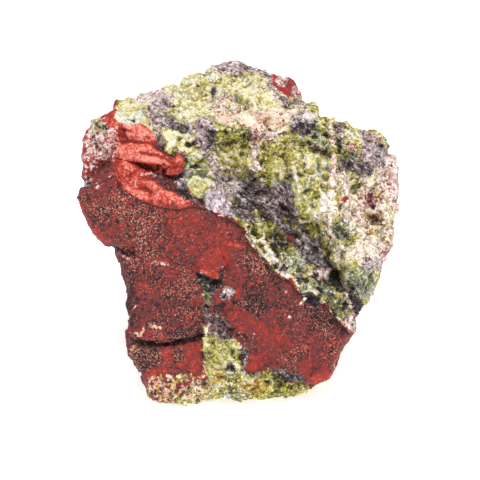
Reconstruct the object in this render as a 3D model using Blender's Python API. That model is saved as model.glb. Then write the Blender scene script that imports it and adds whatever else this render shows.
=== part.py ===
"""A rough chunk of dragon blood stone: red jasper grown together with green epidote, one solid.

The stone is drawn face on, looking straight at its broad red face: X across, Y into the stone and
Z up, in millimetres. It fills the space between a traced edge, a few broad fracture faces and a
flat foot, with ledges, grooves, hollows and lumps let into its front. The drawn stone then leans
back by LEAN onto its foot, and is written in metres with +Z up and its origin under its middle.
"""

import math

import bmesh
import bpy
import numpy as np

MM = 0.001
LEAN = math.radians(24.0)
MIDDLE = np.array((0.0, 19.0, 28.0))
FOOT_LEVEL = -2.9
CENTRE_ACROSS = -0.13
CENTRE_BACK = 28.56
SEED = 31

# The gridded box that is shrunk onto the stone, between a core inside it and a case around it.
GRID_PER_SIDE = 80
CORE_HALF = np.array((12.0, 8.0, 12.0))
CASE_HALF = np.array((34.0, 27.0, 38.0))
MARCH_STEPS = 60
HALVINGS = 12
KEPT_SHARE = 0.115

# The edge of the stone as seen face on, (X, Z), clockwise from the left shoulder.
OUTLINE = [
    (-26.3, 40.7), (-26.2, 43.0), (-25.9, 45.0), (-25.0, 46.3), (-21.7, 48.0), (-20.8, 48.3),
    (-20.7, 49.7), (-17.8, 50.0), (-16.3, 51.0), (-11.3, 52.7), (-9.7, 53.7), (-6.0, 54.5),
    (-4.5, 56.3), (-2.7, 57.0), (0.0, 56.5), (2.0, 55.7), (5.3, 54.9), (8.8, 53.5),
    (10.0, 52.0), (10.5, 49.3), (12.0, 48.9), (13.4, 47.2), (16.7, 45.9), (22.8, 43.9),
    (24.9, 41.2), (26.2, 40.3), (26.7, 36.3), (26.5, 33.0), (25.7, 30.2), (26.0, 27.7),
    (24.7, 22.8), (23.5, 21.3), (22.2, 17.0), (21.2, 15.8), (20.0, 15.3), (19.3, 13.8),
    (19.0, 11.7), (16.8, 8.8), (16.3, 7.2), (15.3, 5.0), (14.5, 3.8), (12.8, 3.0),
    (8.0, 1.1), (4.7, 0.3), (-2.5, 0.5), (-9.3, -0.7), (-12.5, -0.4), (-14.9, 0.7),
    (-16.4, 4.7), (-18.4, 7.7), (-19.0, 10.7), (-18.4, 13.2), (-19.0, 16.3), (-18.4, 18.7),
    (-19.4, 21.7), (-20.9, 25.8), (-22.4, 25.9), (-24.2, 27.8), (-26.4, 31.8), (-26.9, 33.7),
    (-26.5, 34.8), (-25.6, 35.5), (-26.0, 37.5),
]

# The ledge that runs across the front from the left shoulder down to the right: the red face
# lies below it. The last points close the line round the upper part, outside the stone.
LEDGE = [
    (-28.3, 35.0), (-25.5, 35.5), (-23.2, 36.3), (-20.7, 37.5), (-20.2, 35.3), (-17.5, 34.0),
    (-15.0, 32.8), (-12.5, 32.0), (-9.7, 31.7), (-7.5, 32.3), (-5.5, 31.8), (-3.7, 30.7),
    (-2.0, 30.0), (0.5, 28.5), (1.7, 26.8), (3.0, 25.0), (4.5, 23.5), (4.8, 21.8),
    (6.7, 20.8), (8.8, 19.5), (9.8, 17.5), (11.8, 18.2), (13.5, 16.7), (15.0, 14.2),
    (16.7, 12.8), (18.7, 10.7), (25.0, 5.0), (40.0, 5.0), (40.0, 70.0), (-40.0, 70.0),
]

# The rim where the upper front turns back into the top, (X, Z) from left to right.
RIM = [
    (-30.0, 44.0), (-26.0, 45.6), (-22.0, 46.6), (-19.5, 46.2), (-15.5, 45.9), (-11.5, 44.9),
    (-8.0, 46.2), (-4.8, 46.8), (-2.2, 45.3), (0.5, 46.4), (3.0, 46.0), (5.2, 44.5),
    (8.6, 46.0), (11.0, 46.9), (14.5, 45.6), (19.0, 44.4), (24.0, 41.5), (30.0, 36.0),
]

# Fracture faces of the front, each a plane: depth at a place (X, Z), slope across, slope up.
RED_FACES = [
    (1.2, -1.0, 20.0, 0.10, 0.02),
    (1.2, -1.0, 20.0, -0.12, -0.03),
    (1.6, -4.0, 7.0, 0.05, -0.35),
]
UPPER_FACES = [
    (6.4, -21.0, 41.0, -0.60, 0.05),
    (6.7, -14.0, 42.0, 0.10, 0.16),
    (7.3, 2.0, 40.0, -0.16, 0.10),
    (7.4, 9.0, 36.0, 0.03, -0.06),
    (8.0, 16.0, 35.0, 0.95, 0.12),
]
RIM_DEPTH = 7.6
TERRACE_SLOPE = 3.0
FAR_LUMP = [(14.8, -2.0, 48.6, -0.06, 1.50), (15.5, 6.5, 50.0, 1.3, 1.0), (17.5, -12.0, 50.5, -0.55, 1.2)]

# Fracture faces of the back: outward direction and reach from MIDDLE.
BACK_FACES = [
    ((0.10, 1.00, 0.05), 19.0),
    ((-0.75, 0.65, 0.10), 23.5),
    ((0.70, 0.70, -0.20), 23.5),
    ((-0.25, 0.62, 0.75), 28.5),
    ((0.45, 0.70, 0.55), 26.0),
    ((-0.95, 0.25, -0.25), 22.5),
    ((0.90, 0.35, -0.35), 24.5),
    ((-0.45, 0.85, -0.45), 22.0),
    ((0.35, 0.88, -0.35), 21.5),
    ((-0.62, 0.45, 0.65), 29.5),
]

# Behind the upper front the edge draws in by this share of the depth.
NARROWING = 0.25
NARROWING_START = 2.5
EDGE_ROUNDING = 1.3

# Grooves let into the front: points (X, Z), half width, depth.
GROOVES = [
    ([(-8.0, 36.5), (-1.5, 36.6), (4.0, 34.0), (9.0, 29.5), (12.0, 24.5), (15.5, 20.8)], 2.4, 2.0),
    ([(-27.0, 35.9), (-23.5, 37.2), (-20.5, 38.6)], 0.8, 1.2),
    ([(16.5, 20.0), (17.5, 17.5), (20.5, 14.6)], 1.1, 1.6),
    ([(-22.5, 25.8), (-19.8, 24.8), (-18.0, 24.5)], 0.8, 1.3),
    ([(-19.6, 46.0), (-19.2, 43.5), (-19.6, 40.5)], 0.8, 0.8),
]

# Lips: the stone drops back below each line and comes forward again over its reach. Points
# (X, Z) from left to right, drop, reach.
LIP_STEP = 0.7
LIPS = [
    ([(-7.2, 21.5), (-6.7, 21.2), (-3.3, 19.7), (-2.8, 21.5), (-3.0, 23.0)], 1.0, 4.0),
    ([(-19.5, 10.3), (-15.0, 9.6), (-11.3, 10.0), (-6.7, 11.0)], 1.9, 2.6),
    ([(-18.3, 24.7), (-15.0, 23.4), (-6.7, 22.9)], 0.5, 3.0),
    ([(-8.3, 16.0), (-3.3, 16.2), (0.8, 15.3)], 0.6, 3.0),
    ([(-20.0, 40.6), (-17.5, 40.0), (-15.5, 39.4), (-12.5, 38.9), (-11.6, 40.6)], 2.2, 2.4),
    ([(-19.0, 44.3), (-16.7, 43.4), (-13.5, 42.3)], 0.9, 2.6),
    ([(-4.0, 44.9), (-1.0, 45.2), (1.8, 44.6)], 1.7, 4.2),
    ([(7.8, 45.0), (10.0, 46.0), (13.2, 45.8), (14.8, 44.6)], 1.7, 4.2),
]

# Hollows and lumps: place (X, Z), half width, half height, depth. A lump has a depth below 0.
SWELLS = [
    (-22.5, 38.8, 1.6, 1.2, 1.0),
    (-12.8, 36.6, 2.8, 1.2, 1.1),
    (-15.5, 42.0, 2.2, 1.2, -0.8),
    (14.5, 41.0, 2.2, 2.6, 1.0),
    (16.2, 26.8, 3.4, 2.6, 0.9),
    (21.8, 30.3, 1.5, 1.6, 1.2),
    (20.5, 41.0, 3.0, 2.2, -1.0),
    (21.0, 24.5, 3.0, 3.0, -0.9),
    (10.5, 37.0, 3.0, 3.0, -0.9),
    (3.0, 40.5, 3.6, 2.6, -0.8),
    (-9.5, 41.5, 2.4, 1.8, -1.0),
    (-5.3, 43.6, 2.6, 3.4, -2.0),
    (-3.3, 33.2, 2.6, 3.6, -2.0),
    (-15.0, 7.2, 3.6, 2.0, -1.0),
    (15.6, 36.0, 0.9, 7.5, -0.8),
]

# Unevenness of the broken surface: size of its lumps and their height.
UNEVENNESS = [(15.0, 1.0), (7.5, 0.5), (3.6, 0.4), (2.0, 0.2)]
ROUGH_SHARE = 1.0
SMOOTH_SHARE = 0.38
EDGE_KEPT = 0.75
LATTICE = 24

# Chips: small fracture planes, each a cell round a scattered centre, with its own tilt and level.
CHIP_COUNT = 330
CHIP_TILT = 0.13
CHIP_LEVEL = 0.25
CHIP_STEP = 0.3


def clear_scene():
    """Removes what the startup scene holds."""
    for found in list(bpy.data.objects):
        bpy.data.objects.remove(found)


def along_line(x, z, points, closed=False):
    """Distance to a line of points, and whether each place lies on the line's right-hand side."""
    ends = points[1:] + points[:1] if closed else points[1:]
    nearest = np.full(x.shape, np.inf)
    right = np.zeros(x.shape, bool)
    for (ax, az), (bx, bz) in zip(points, ends):
        run, rise = bx - ax, bz - az
        share = np.clip(((x - ax) * run + (z - az) * rise) / (run * run + rise * rise), 0.0, 1.0)
        gap = np.hypot(x - ax - share * run, z - az - share * rise)
        closer = gap < nearest
        nearest = np.where(closer, gap, nearest)
        right = np.where(closer, run * (z - az) - rise * (x - ax) < 0.0, right)
    return nearest, right


def beyond_edge(x, z, polygon):
    """Signed distance to a closed polygon: above 0 outside it."""
    distance, _ = along_line(x, z, polygon, closed=True)
    within = np.zeros(x.shape, bool)
    for (ax, az), (bx, bz) in zip(polygon, polygon[1:] + polygon[:1]):
        if az != bz:
            spans = (az > z) != (bz > z)
            within ^= spans & (x < ax + (z - az) / (bz - az) * (bx - ax))
    return np.where(within, -distance, distance)


def deepest(x, z, faces):
    """Depth of the deepest of several fracture faces at each place."""
    planes = [depth + across * (x - x0) + up * (z - z0) for depth, x0, z0, across, up in faces]
    return np.maximum.reduce(planes)


def carved(x, z):
    """How far grooves, lips, hollows and lumps set the front back."""
    depth = np.zeros(x.shape)
    for points, half_width, most in GROOVES:
        gap, _ = along_line(x, z, points)
        depth += most * np.exp(-((gap / half_width) ** 2))
    for points, drop, reach in LIPS:
        gap, below = along_line(x, z, points)
        fall = np.clip(gap / LIP_STEP, 0.0, 1.0) * np.clip(1.0 - gap / reach, 0.0, 1.0) ** 2
        depth += np.where(below, drop * fall, 0.0)
    for x0, z0, half_width, half_height, most in SWELLS:
        off = ((x - x0) / half_width) ** 2 + ((z - z0) / half_height) ** 2
        depth += most * np.clip(1.0 - off / 2.0, 0.0, 1.0) ** 2
    return depth


def upper_depth(x, z):
    """Depth of the upper blocks and the top."""
    rim_x, rim_z = np.array(RIM).T
    terrace = RIM_DEPTH + TERRACE_SLOPE * (z - np.interp(x, rim_x, rim_z))
    top = np.minimum(terrace, deepest(x, z, FAR_LUMP))
    return np.maximum(deepest(x, z, UPPER_FACES), top)


def front_depth(x, z):
    """Depth of the whole front: the red face, the ledge, the upper blocks and the top."""
    ramp = np.clip(1.0 + 0.25 * (x + 26.0), 1.0, 4.4)
    share = np.clip(-beyond_edge(x, z, LEDGE) / ramp, 0.0, 1.0)
    lower = deepest(x, z, RED_FACES)
    return lower + (upper_depth(x, z) - lower) * share + carved(x, z)


def rounded_most(a, b):
    """The larger of two, with the corner between them rounded off."""
    near = np.clip(1.0 - np.abs(a - b) / EDGE_ROUNDING, 0.0, 1.0)
    return np.maximum(a, b) + EDGE_ROUNDING / 4.0 * near * near


def broad_form(points):
    """Below 0 inside the broad form of the stone, above 0 outside it."""
    x, y, z = points.T
    behind = np.maximum(0.0, y - upper_depth(x, z) - NARROWING_START)
    form = rounded_most(front_depth(x, z) - y, beyond_edge(x, z, OUTLINE) + NARROWING * behind)
    for direction, reach in BACK_FACES:
        outward = np.array(direction) / np.linalg.norm(direction)
        form = rounded_most(form, (points - MIDDLE) @ outward - reach)
    return form


def unevenness(points):
    """Height of the broken surface over the broad form: smooth seeded noise in several sizes."""
    total = np.zeros(len(points))
    for number, (size, height) in enumerate(UNEVENNESS):
        values = np.random.default_rng(SEED + number).uniform(-1.0, 1.0, (LATTICE,) * 3)
        corner = np.floor(points / size).astype(int)
        part = points / size - corner
        part = part * part * (3.0 - 2.0 * part)
        for step in np.ndindex(2, 2, 2):
            weight = np.prod(np.where(step, part, 1.0 - part), axis=1)
            cell = (corner + step) % LATTICE
            total += height * weight * values[cell[:, 0], cell[:, 1], cell[:, 2]]
    return total


def chips(points):
    """Height of the chip that each place lies on."""
    dice = np.random.default_rng(SEED)
    low, high = MIDDLE - CASE_HALF, MIDDLE + CASE_HALF
    centres = dice.uniform(low, high, (CHIP_COUNT, 3))
    tilts = dice.normal(0.0, CHIP_TILT, (CHIP_COUNT, 3))
    levels = dice.normal(0.0, CHIP_LEVEL, CHIP_COUNT)
    gaps = np.linalg.norm(points[:, None, :] - centres[None, :, :], axis=2)
    heights = levels + points @ tilts.T - np.sum(tilts * centres, axis=1)
    weights = np.exp((np.min(gaps, axis=1, keepdims=True) - gaps) / CHIP_STEP)
    return np.sum(weights * heights, axis=1) / np.sum(weights, axis=1)


def outward_of(points):
    """Unit direction out of the broad form."""
    reach = 0.4
    steps = [reach * np.eye(3)[axis] for axis in range(3)]
    slopes = [broad_form(points + step) - broad_form(points - step) for step in steps]
    slopes = np.stack(slopes, axis=1)
    return slopes / np.maximum(np.linalg.norm(slopes, axis=1, keepdims=True), 1e-9)


def roughened(points):
    """Places on the broad form moved out or in onto the broken surface."""
    x, y, z = points.T
    on_red = (y < 5.0) & (beyond_edge(x, z, LEDGE) > 0.0)
    share = np.where(on_red, SMOOTH_SHARE, ROUGH_SHARE)
    behind = y - upper_depth(x, z)
    to_edge = np.abs(beyond_edge(x, z, OUTLINE))
    at_edge = np.clip(1.5 - to_edge / 2.0, 0.0, 1.0) * np.clip(2.0 - behind / 4.0, 0.0, 1.0)
    share = share * (1.0 - EDGE_KEPT * at_edge)
    height = share * (unevenness(points) + chips(points))
    return points + height[:, None] * outward_of(points)


def where_met(starts, ends):
    """Where each straight line from its start, outside, first meets the broad form."""
    outer = np.zeros(len(starts))
    waiting = np.arange(len(starts))
    for step in range(1, MARCH_STEPS + 1):
        share = step / MARCH_STEPS
        places = starts[waiting] + share * (ends[waiting] - starts[waiting])
        waiting = waiting[broad_form(places) > 0.0]
        outer[waiting] = share
    inner = outer + 1.0 / MARCH_STEPS
    for _ in range(HALVINGS):
        middle = (outer + inner) / 2.0
        within = broad_form(starts + middle[:, None] * (ends - starts)) < 0.0
        inner = np.where(within, middle, inner)
        outer = np.where(within, outer, middle)
    return starts + outer[:, None] * (ends - starts)


def leaned(points):
    """Drawn places in millimetres, leaned back and moved over the origin, in metres."""
    x, y, z = points.T
    across = x - CENTRE_ACROSS
    back = z * math.sin(LEAN) + y * math.cos(LEAN) - CENTRE_BACK
    up = z * math.cos(LEAN) - y * math.sin(LEAN) - FOOT_LEVEL
    return np.stack([across, back, up], axis=1) * MM


def stone_mesh():
    """The gridded box shrunk onto the stone."""
    shell = bmesh.new()
    bmesh.ops.create_cube(shell, size=2.0)
    bmesh.ops.subdivide_edges(shell, edges=shell.edges[:], cuts=GRID_PER_SIDE - 1, use_grid_fill=True)
    grid = np.array([v.co for v in shell.verts])
    skin = where_met(MIDDLE + grid * CASE_HALF, MIDDLE + grid * CORE_HALF)
    for vertex, place in zip(shell.verts, leaned(roughened(skin))):
        vertex.co = place
    bmesh.ops.recalc_face_normals(shell, faces=shell.faces[:])
    mesh = bpy.data.meshes.new("stone")
    shell.to_mesh(mesh)
    shell.free()
    return mesh


def fewer_faces(mesh):
    """The mesh with its flat stretches in large triangles and its ridges kept."""
    helper = bpy.data.objects.new("helper", mesh)
    bpy.context.collection.objects.link(helper)
    decimate = helper.modifiers.new("fewer_faces", "DECIMATE")
    decimate.ratio = KEPT_SHARE
    graph = bpy.context.evaluated_depsgraph_get()
    fewer = bpy.data.meshes.new_from_object(helper.evaluated_get(graph))
    bpy.data.objects.remove(helper)
    return fewer


def cut_foot(mesh):
    """Cuts the stone off flat where it rests."""
    shell = bmesh.new()
    shell.from_mesh(mesh)
    everything = shell.verts[:] + shell.edges[:] + shell.faces[:]
    cut = bmesh.ops.bisect_plane(
        shell, geom=everything, dist=0.01 * MM, plane_co=(0, 0, 0), plane_no=(0, 0, -1), clear_outer=True
    )
    rim = [e for e in cut["geom_cut"] if isinstance(e, bmesh.types.BMEdge)]
    bmesh.ops.holes_fill(shell, edges=rim, sides=0)
    bmesh.ops.triangulate(shell, faces=shell.faces[:])
    bmesh.ops.recalc_face_normals(shell, faces=shell.faces[:])
    shell.to_mesh(mesh)
    shell.free()


def stone_material():
    """Dull red jasper, the stone's main colour."""
    material = bpy.data.materials.new("red_jasper")
    material.use_nodes = True
    shader = material.node_tree.nodes["Principled BSDF"]
    shader.inputs["Base Color"].default_value = (0.24, 0.06, 0.045, 1.0)
    shader.inputs["Roughness"].default_value = 0.75
    shader.inputs["Metallic"].default_value = 0.0
    return material


def main():
    clear_scene()
    mesh = fewer_faces(stone_mesh())
    cut_foot(mesh)
    mesh.shade_smooth()
    mesh.set_sharp_from_angle(angle=math.radians(30.0))
    mesh.materials.append(stone_material())
    stone = bpy.data.objects.new("dragon_blood_stone", mesh)
    bpy.context.collection.objects.link(stone)


main()
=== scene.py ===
# %% [markdown]
# # A lump of dragon blood stone
# This lesson dresses one rough stone: red jasper grown together with green epidote. The packed
# model already gives its size and its broad shape, so the work here is the broken surface and the
# minerals that show on it. It could be sculpted by hand and painted, but then nothing could be
# changed later. So each step is a rule with named sizes, and the drawing is kept in millimetres.
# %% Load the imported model
import math

import bpy
import numpy as np
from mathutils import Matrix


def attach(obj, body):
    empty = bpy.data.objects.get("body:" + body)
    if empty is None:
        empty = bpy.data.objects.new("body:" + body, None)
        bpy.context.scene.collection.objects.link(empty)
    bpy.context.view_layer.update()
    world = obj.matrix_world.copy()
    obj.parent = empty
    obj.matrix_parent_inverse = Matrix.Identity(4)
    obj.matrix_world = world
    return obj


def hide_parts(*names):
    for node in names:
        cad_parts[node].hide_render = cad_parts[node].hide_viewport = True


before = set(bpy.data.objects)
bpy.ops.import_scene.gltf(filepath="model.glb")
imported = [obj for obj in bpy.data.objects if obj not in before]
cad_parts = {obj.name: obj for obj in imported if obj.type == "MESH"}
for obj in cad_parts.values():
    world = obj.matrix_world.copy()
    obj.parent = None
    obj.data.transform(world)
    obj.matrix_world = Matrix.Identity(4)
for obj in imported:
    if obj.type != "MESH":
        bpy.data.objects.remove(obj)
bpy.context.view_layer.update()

MM = 0.001
packed_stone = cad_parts["dragon_blood_stone"]

# %% [markdown]
# # Drawn face on, then leaned back
# The stone is easiest to draw while looking straight at its red face: X across, Y into the stone
# and Z up. It then leans back by 24 degrees onto its foot. Two small functions go between the drawn
# stone and the standing one, so every later step can use whichever is simpler.
# %% From the drawn stone to the standing stone and back
LEAN = math.radians(24.0)
FOOT_LEVEL = -2.9
CENTRE_ACROSS = -0.13
CENTRE_BACK = 28.56


def leaned(points):
    """Drawn places in millimetres as standing places in metres."""
    x, y, z = points.T
    back = z * math.sin(LEAN) + y * math.cos(LEAN) - CENTRE_BACK
    up = z * math.cos(LEAN) - y * math.sin(LEAN) - FOOT_LEVEL
    return np.stack([x - CENTRE_ACROSS, back, up], axis=1) * MM


def drawn(places):
    """Standing places in metres as drawn places in millimetres."""
    across, back, up = (places / MM).T
    back = back + CENTRE_BACK
    up = up + FOOT_LEVEL
    y = back * math.cos(LEAN) - up * math.sin(LEAN)
    z = back * math.sin(LEAN) + up * math.cos(LEAN)
    return np.stack([across + CENTRE_ACROSS, y, z], axis=1)


print("drawn origin stands at", np.round(leaned(np.zeros((1, 3))) / MM, 2))

# %% [markdown]
# # Camera, floor and light
# A long lens far away keeps the stone's edges true, as a product picture does. The camera looks
# down by the same 24 degrees, so it faces the drawn stone squarely. The floor is bright enough to
# turn white: it glows a little, like a lit table. One soft sun above stands for a large softbox,
# and the pale world fills the shadows.
# %% Set the camera, the floor and the light
PICTURE_WIDTH = 80.0
CAMERA_AWAY = 2000.0
SENSOR = 36.0
PICTURE_MIDDLE = np.array([[0.0, 8.0, 26.67]])
KEY_ELEVATION = math.radians(73.0)
KEY_TURN = math.radians(14.0)
KEY_SPREAD = math.radians(38.0)
KEY_ENERGY = 2.6
ROOM_LIGHT = 0.52
FLOOR_GREY = 0.93
FLOOR_DULLNESS = 0.9
FLOOR_GLOW = 0.66
WHITE = (1.0, 1.0, 1.0, 1.0)

camera = bpy.data.objects.new("camera", bpy.data.cameras.new("camera"))
camera.data.sensor_width = SENSOR
camera.data.lens = SENSOR * CAMERA_AWAY / PICTURE_WIDTH
camera.data.clip_end = 20.0
aim = leaned(PICTURE_MIDDLE)[0]
away = CAMERA_AWAY * MM * np.array([0.0, -math.cos(LEAN), math.sin(LEAN)])
camera.location = aim + away
camera.rotation_euler = (math.pi / 2.0 - LEAN, 0.0, 0.0)
bpy.context.scene.collection.objects.link(camera)
bpy.context.scene.camera = camera

FLOOR_SIZE = 6.0
floor_mesh = bpy.data.meshes.new("floor")
floor_corners = [(-1, -1, 0), (1, -1, 0), (1, 1, 0), (-1, 1, 0)]
floor_corners = [tuple(FLOOR_SIZE / 2.0 * c for c in corner) for corner in floor_corners]
floor_mesh.from_pydata(floor_corners, [], [(0, 1, 2, 3)])
floor = bpy.data.objects.new("floor", floor_mesh)
floor_paint = bpy.data.materials.new("floor_paint")
floor_paint.use_nodes = True
floor_shader = floor_paint.node_tree.nodes["Principled BSDF"].inputs
floor_shader["Base Color"].default_value = (FLOOR_GREY, FLOOR_GREY, FLOOR_GREY, 1.0)
floor_shader["Roughness"].default_value = FLOOR_DULLNESS
floor_shader["Emission Color"].default_value = WHITE
floor_shader["Emission Strength"].default_value = FLOOR_GLOW
floor_mesh.materials.append(floor_paint)
bpy.context.scene.collection.objects.link(floor)

key = bpy.data.objects.new("key", bpy.data.lights.new("key", "SUN"))
key.data.energy = KEY_ENERGY
key.data.angle = KEY_SPREAD
key.rotation_euler = (math.pi / 2.0 - KEY_ELEVATION, 0.0, KEY_TURN)
bpy.context.scene.collection.objects.link(key)

world = bpy.data.worlds.new("pale_room")
world.use_nodes = True
background = world.node_tree.nodes["Background"].inputs
background["Color"].default_value = WHITE
background["Strength"].default_value = ROOM_LIGHT
bpy.context.scene.world = world
bpy.context.scene.view_settings.view_transform = "Standard"
print("camera stands at", [round(c, 3) for c in camera.location])

# %% [markdown]
# # The broad form, as it was cut
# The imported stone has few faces. To lay a finer skin over it, the same recipe is written again: a
# traced edge, a ledge, a few fracture planes in front and ten behind. Where planes meet, the
# corner is rounded a little. The recipe answers one question for any place: inside or outside.
# %% Numbers of the broad form
MIDDLE = np.array((0.0, 19.0, 28.0))
CASE_HALF = np.array((34.0, 27.0, 38.0))
SEED = 31
OUTLINE = [
    (-26.3, 40.7), (-26.2, 43.0), (-25.9, 45.0), (-25.0, 46.3), (-21.7, 48.0), (-20.8, 48.3),
    (-20.7, 49.7), (-17.8, 50.0), (-16.3, 51.0), (-11.3, 52.7), (-9.7, 53.7), (-6.0, 54.5),
    (-4.5, 56.3), (-2.7, 57.0), (0.0, 56.5), (2.0, 55.7), (5.3, 54.9), (8.8, 53.5),
    (10.0, 52.0), (10.5, 49.3), (12.0, 48.9), (13.4, 47.2), (16.7, 45.9), (22.8, 43.9),
    (24.9, 41.2), (26.2, 40.3), (26.7, 36.3), (26.5, 33.0), (25.7, 30.2), (26.0, 27.7),
    (24.7, 22.8), (23.5, 21.3), (22.2, 17.0), (21.2, 15.8), (20.0, 15.3), (19.3, 13.8),
    (19.0, 11.7), (16.8, 8.8), (16.3, 7.2), (15.3, 5.0), (14.5, 3.8), (12.8, 3.0),
    (8.0, 1.1), (4.7, 0.3), (-2.5, 0.5), (-9.3, -0.7), (-12.5, -0.4), (-14.9, 0.7),
    (-16.4, 4.7), (-18.4, 7.7), (-19.0, 10.7), (-18.4, 13.2), (-19.0, 16.3), (-18.4, 18.7),
    (-19.4, 21.7), (-20.9, 25.8), (-22.4, 25.9), (-24.2, 27.8), (-26.4, 31.8), (-26.9, 33.7),
    (-26.5, 34.8), (-25.6, 35.5), (-26.0, 37.5),
]
LEDGE = [
    (-28.3, 35.0), (-25.5, 35.5), (-23.2, 36.3), (-20.7, 37.5), (-20.2, 35.3), (-17.5, 34.0),
    (-15.0, 32.8), (-12.5, 32.0), (-9.7, 31.7), (-7.5, 32.3), (-5.5, 31.8), (-3.7, 30.7),
    (-2.0, 30.0), (0.5, 28.5), (1.7, 26.8), (3.0, 25.0), (4.5, 23.5), (4.8, 21.8),
    (6.7, 20.8), (8.8, 19.5), (9.8, 17.5), (11.8, 18.2), (13.5, 16.7), (15.0, 14.2),
    (16.7, 12.8), (18.7, 10.7), (25.0, 5.0), (40.0, 5.0), (40.0, 70.0), (-40.0, 70.0),
]
RIM = [
    (-30.0, 44.0), (-26.0, 45.6), (-22.0, 46.6), (-19.5, 46.2), (-15.5, 45.9), (-11.5, 44.9),
    (-8.0, 46.2), (-4.8, 46.8), (-2.2, 45.3), (0.5, 46.4), (3.0, 46.0), (5.2, 44.5),
    (8.6, 46.0), (11.0, 46.9), (14.5, 45.6), (19.0, 44.4), (24.0, 41.5), (30.0, 36.0),
]
RED_FACES = [
    (1.2, -1.0, 20.0, 0.10, 0.02), (1.2, -1.0, 20.0, -0.12, -0.03), (1.6, -4.0, 7.0, 0.05, -0.35),
]
UPPER_FACES = [
    (6.4, -21.0, 41.0, -0.60, 0.05), (6.7, -14.0, 42.0, 0.10, 0.16), (7.3, 2.0, 40.0, -0.16, 0.10),
    (7.4, 9.0, 36.0, 0.03, -0.06), (8.0, 16.0, 35.0, 0.95, 0.12),
]
RIM_DEPTH = 7.6
TERRACE_SLOPE = 3.0
FAR_LUMP = [
    (14.8, -2.0, 48.6, -0.06, 1.50), (15.5, 6.5, 50.0, 1.3, 1.0), (17.5, -12.0, 50.5, -0.55, 1.2),
]
BACK_FACES = [
    ((0.10, 1.00, 0.05), 19.0), ((-0.75, 0.65, 0.10), 23.5), ((0.70, 0.70, -0.20), 23.5),
    ((-0.25, 0.62, 0.75), 28.5), ((0.45, 0.70, 0.55), 26.0), ((-0.95, 0.25, -0.25), 22.5),
    ((0.90, 0.35, -0.35), 24.5), ((-0.45, 0.85, -0.45), 22.0), ((0.35, 0.88, -0.35), 21.5),
    ((-0.62, 0.45, 0.65), 29.5),
]
NARROWING = 0.25
NARROWING_START = 2.5
EDGE_ROUNDING = 1.3
GROOVES = [
    ([(-8.0, 36.5), (-1.5, 36.6), (4.0, 34.0), (9.0, 29.5), (12.0, 24.5), (15.5, 20.8)], 2.4, 2.0),
    ([(-27.0, 35.9), (-23.5, 37.2), (-20.5, 38.6)], 0.8, 1.2),
    ([(16.5, 20.0), (17.5, 17.5), (20.5, 14.6)], 1.1, 1.6),
    ([(-22.5, 25.8), (-19.8, 24.8), (-18.0, 24.5)], 0.8, 1.3),
    ([(-19.6, 46.0), (-19.2, 43.5), (-19.6, 40.5)], 0.8, 0.8),
]
LIP_STEP = 0.7
LIPS = [
    ([(-7.2, 21.5), (-6.7, 21.2), (-3.3, 19.7), (-2.8, 21.5), (-3.0, 23.0)], 1.0, 4.0),
    ([(-19.5, 10.3), (-15.0, 9.6), (-11.3, 10.0), (-6.7, 11.0)], 1.9, 2.6),
    ([(-18.3, 24.7), (-15.0, 23.4), (-6.7, 22.9)], 0.5, 3.0),
    ([(-8.3, 16.0), (-3.3, 16.2), (0.8, 15.3)], 0.6, 3.0),
    ([(-20.0, 40.6), (-17.5, 40.0), (-15.5, 39.4), (-12.5, 38.9), (-11.6, 40.6)], 2.2, 2.4),
    ([(-19.0, 44.3), (-16.7, 43.4), (-13.5, 42.3)], 0.9, 2.6),
    ([(-4.0, 44.9), (-1.0, 45.2), (1.8, 44.6)], 1.7, 4.2),
    ([(7.8, 45.0), (10.0, 46.0), (13.2, 45.8), (14.8, 44.6)], 1.7, 4.2),
]
SWELLS = [
    (-22.5, 38.8, 1.6, 1.2, 1.0), (-12.8, 36.6, 2.8, 1.2, 1.1), (-15.5, 42.0, 2.2, 1.2, -0.8),
    (14.5, 41.0, 2.2, 2.6, 1.0), (16.2, 26.8, 3.4, 2.6, 0.9), (21.8, 30.3, 1.5, 1.6, 1.2),
    (20.5, 41.0, 3.0, 2.2, -1.0), (21.0, 24.5, 3.0, 3.0, -0.9), (10.5, 37.0, 3.0, 3.0, -0.9),
    (3.0, 40.5, 3.6, 2.6, -0.8), (-9.5, 41.5, 2.4, 1.8, -1.0), (-5.3, 43.6, 2.6, 3.4, -2.0),
    (-3.3, 33.2, 2.6, 3.6, -2.0), (-15.0, 7.2, 3.6, 2.0, -1.0), (15.6, 36.0, 0.9, 7.5, -0.8),
]
UNEVENNESS = [(15.0, 1.0), (7.5, 0.5), (3.6, 0.4), (2.0, 0.2)]
ROUGH_SHARE = 1.0
SMOOTH_SHARE = 0.38
EDGE_KEPT = 0.75
LATTICE = 24
CHIP_COUNT = 330
CHIP_TILT = 0.13
CHIP_LEVEL = 0.25
CHIP_STEP = 0.3
print("edge has", len(OUTLINE), "points, the back", len(BACK_FACES), "planes")

# %% [markdown]
# # Distances to drawn lines
# Ledges, cracks and mineral borders are all lines or closed outlines drawn on the face. Two
# helpers measure the distance to them. A sign tells the inside of an outline from its outside.
# %% Measure distances to lines and outlines


def along_line(x, z, points, closed=False):
    """Distance to a line of points, and whether each place lies on the line's right-hand side."""
    ends = points[1:] + points[:1] if closed else points[1:]
    nearest = np.full(x.shape, np.inf)
    right = np.zeros(x.shape, bool)
    for (ax, az), (bx, bz) in zip(points, ends):
        run, rise = bx - ax, bz - az
        share = np.clip(((x - ax) * run + (z - az) * rise) / (run * run + rise * rise), 0.0, 1.0)
        gap = np.hypot(x - ax - share * run, z - az - share * rise)
        closer = gap < nearest
        nearest = np.where(closer, gap, nearest)
        right = np.where(closer, run * (z - az) - rise * (x - ax) < 0.0, right)
    return nearest, right


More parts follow.
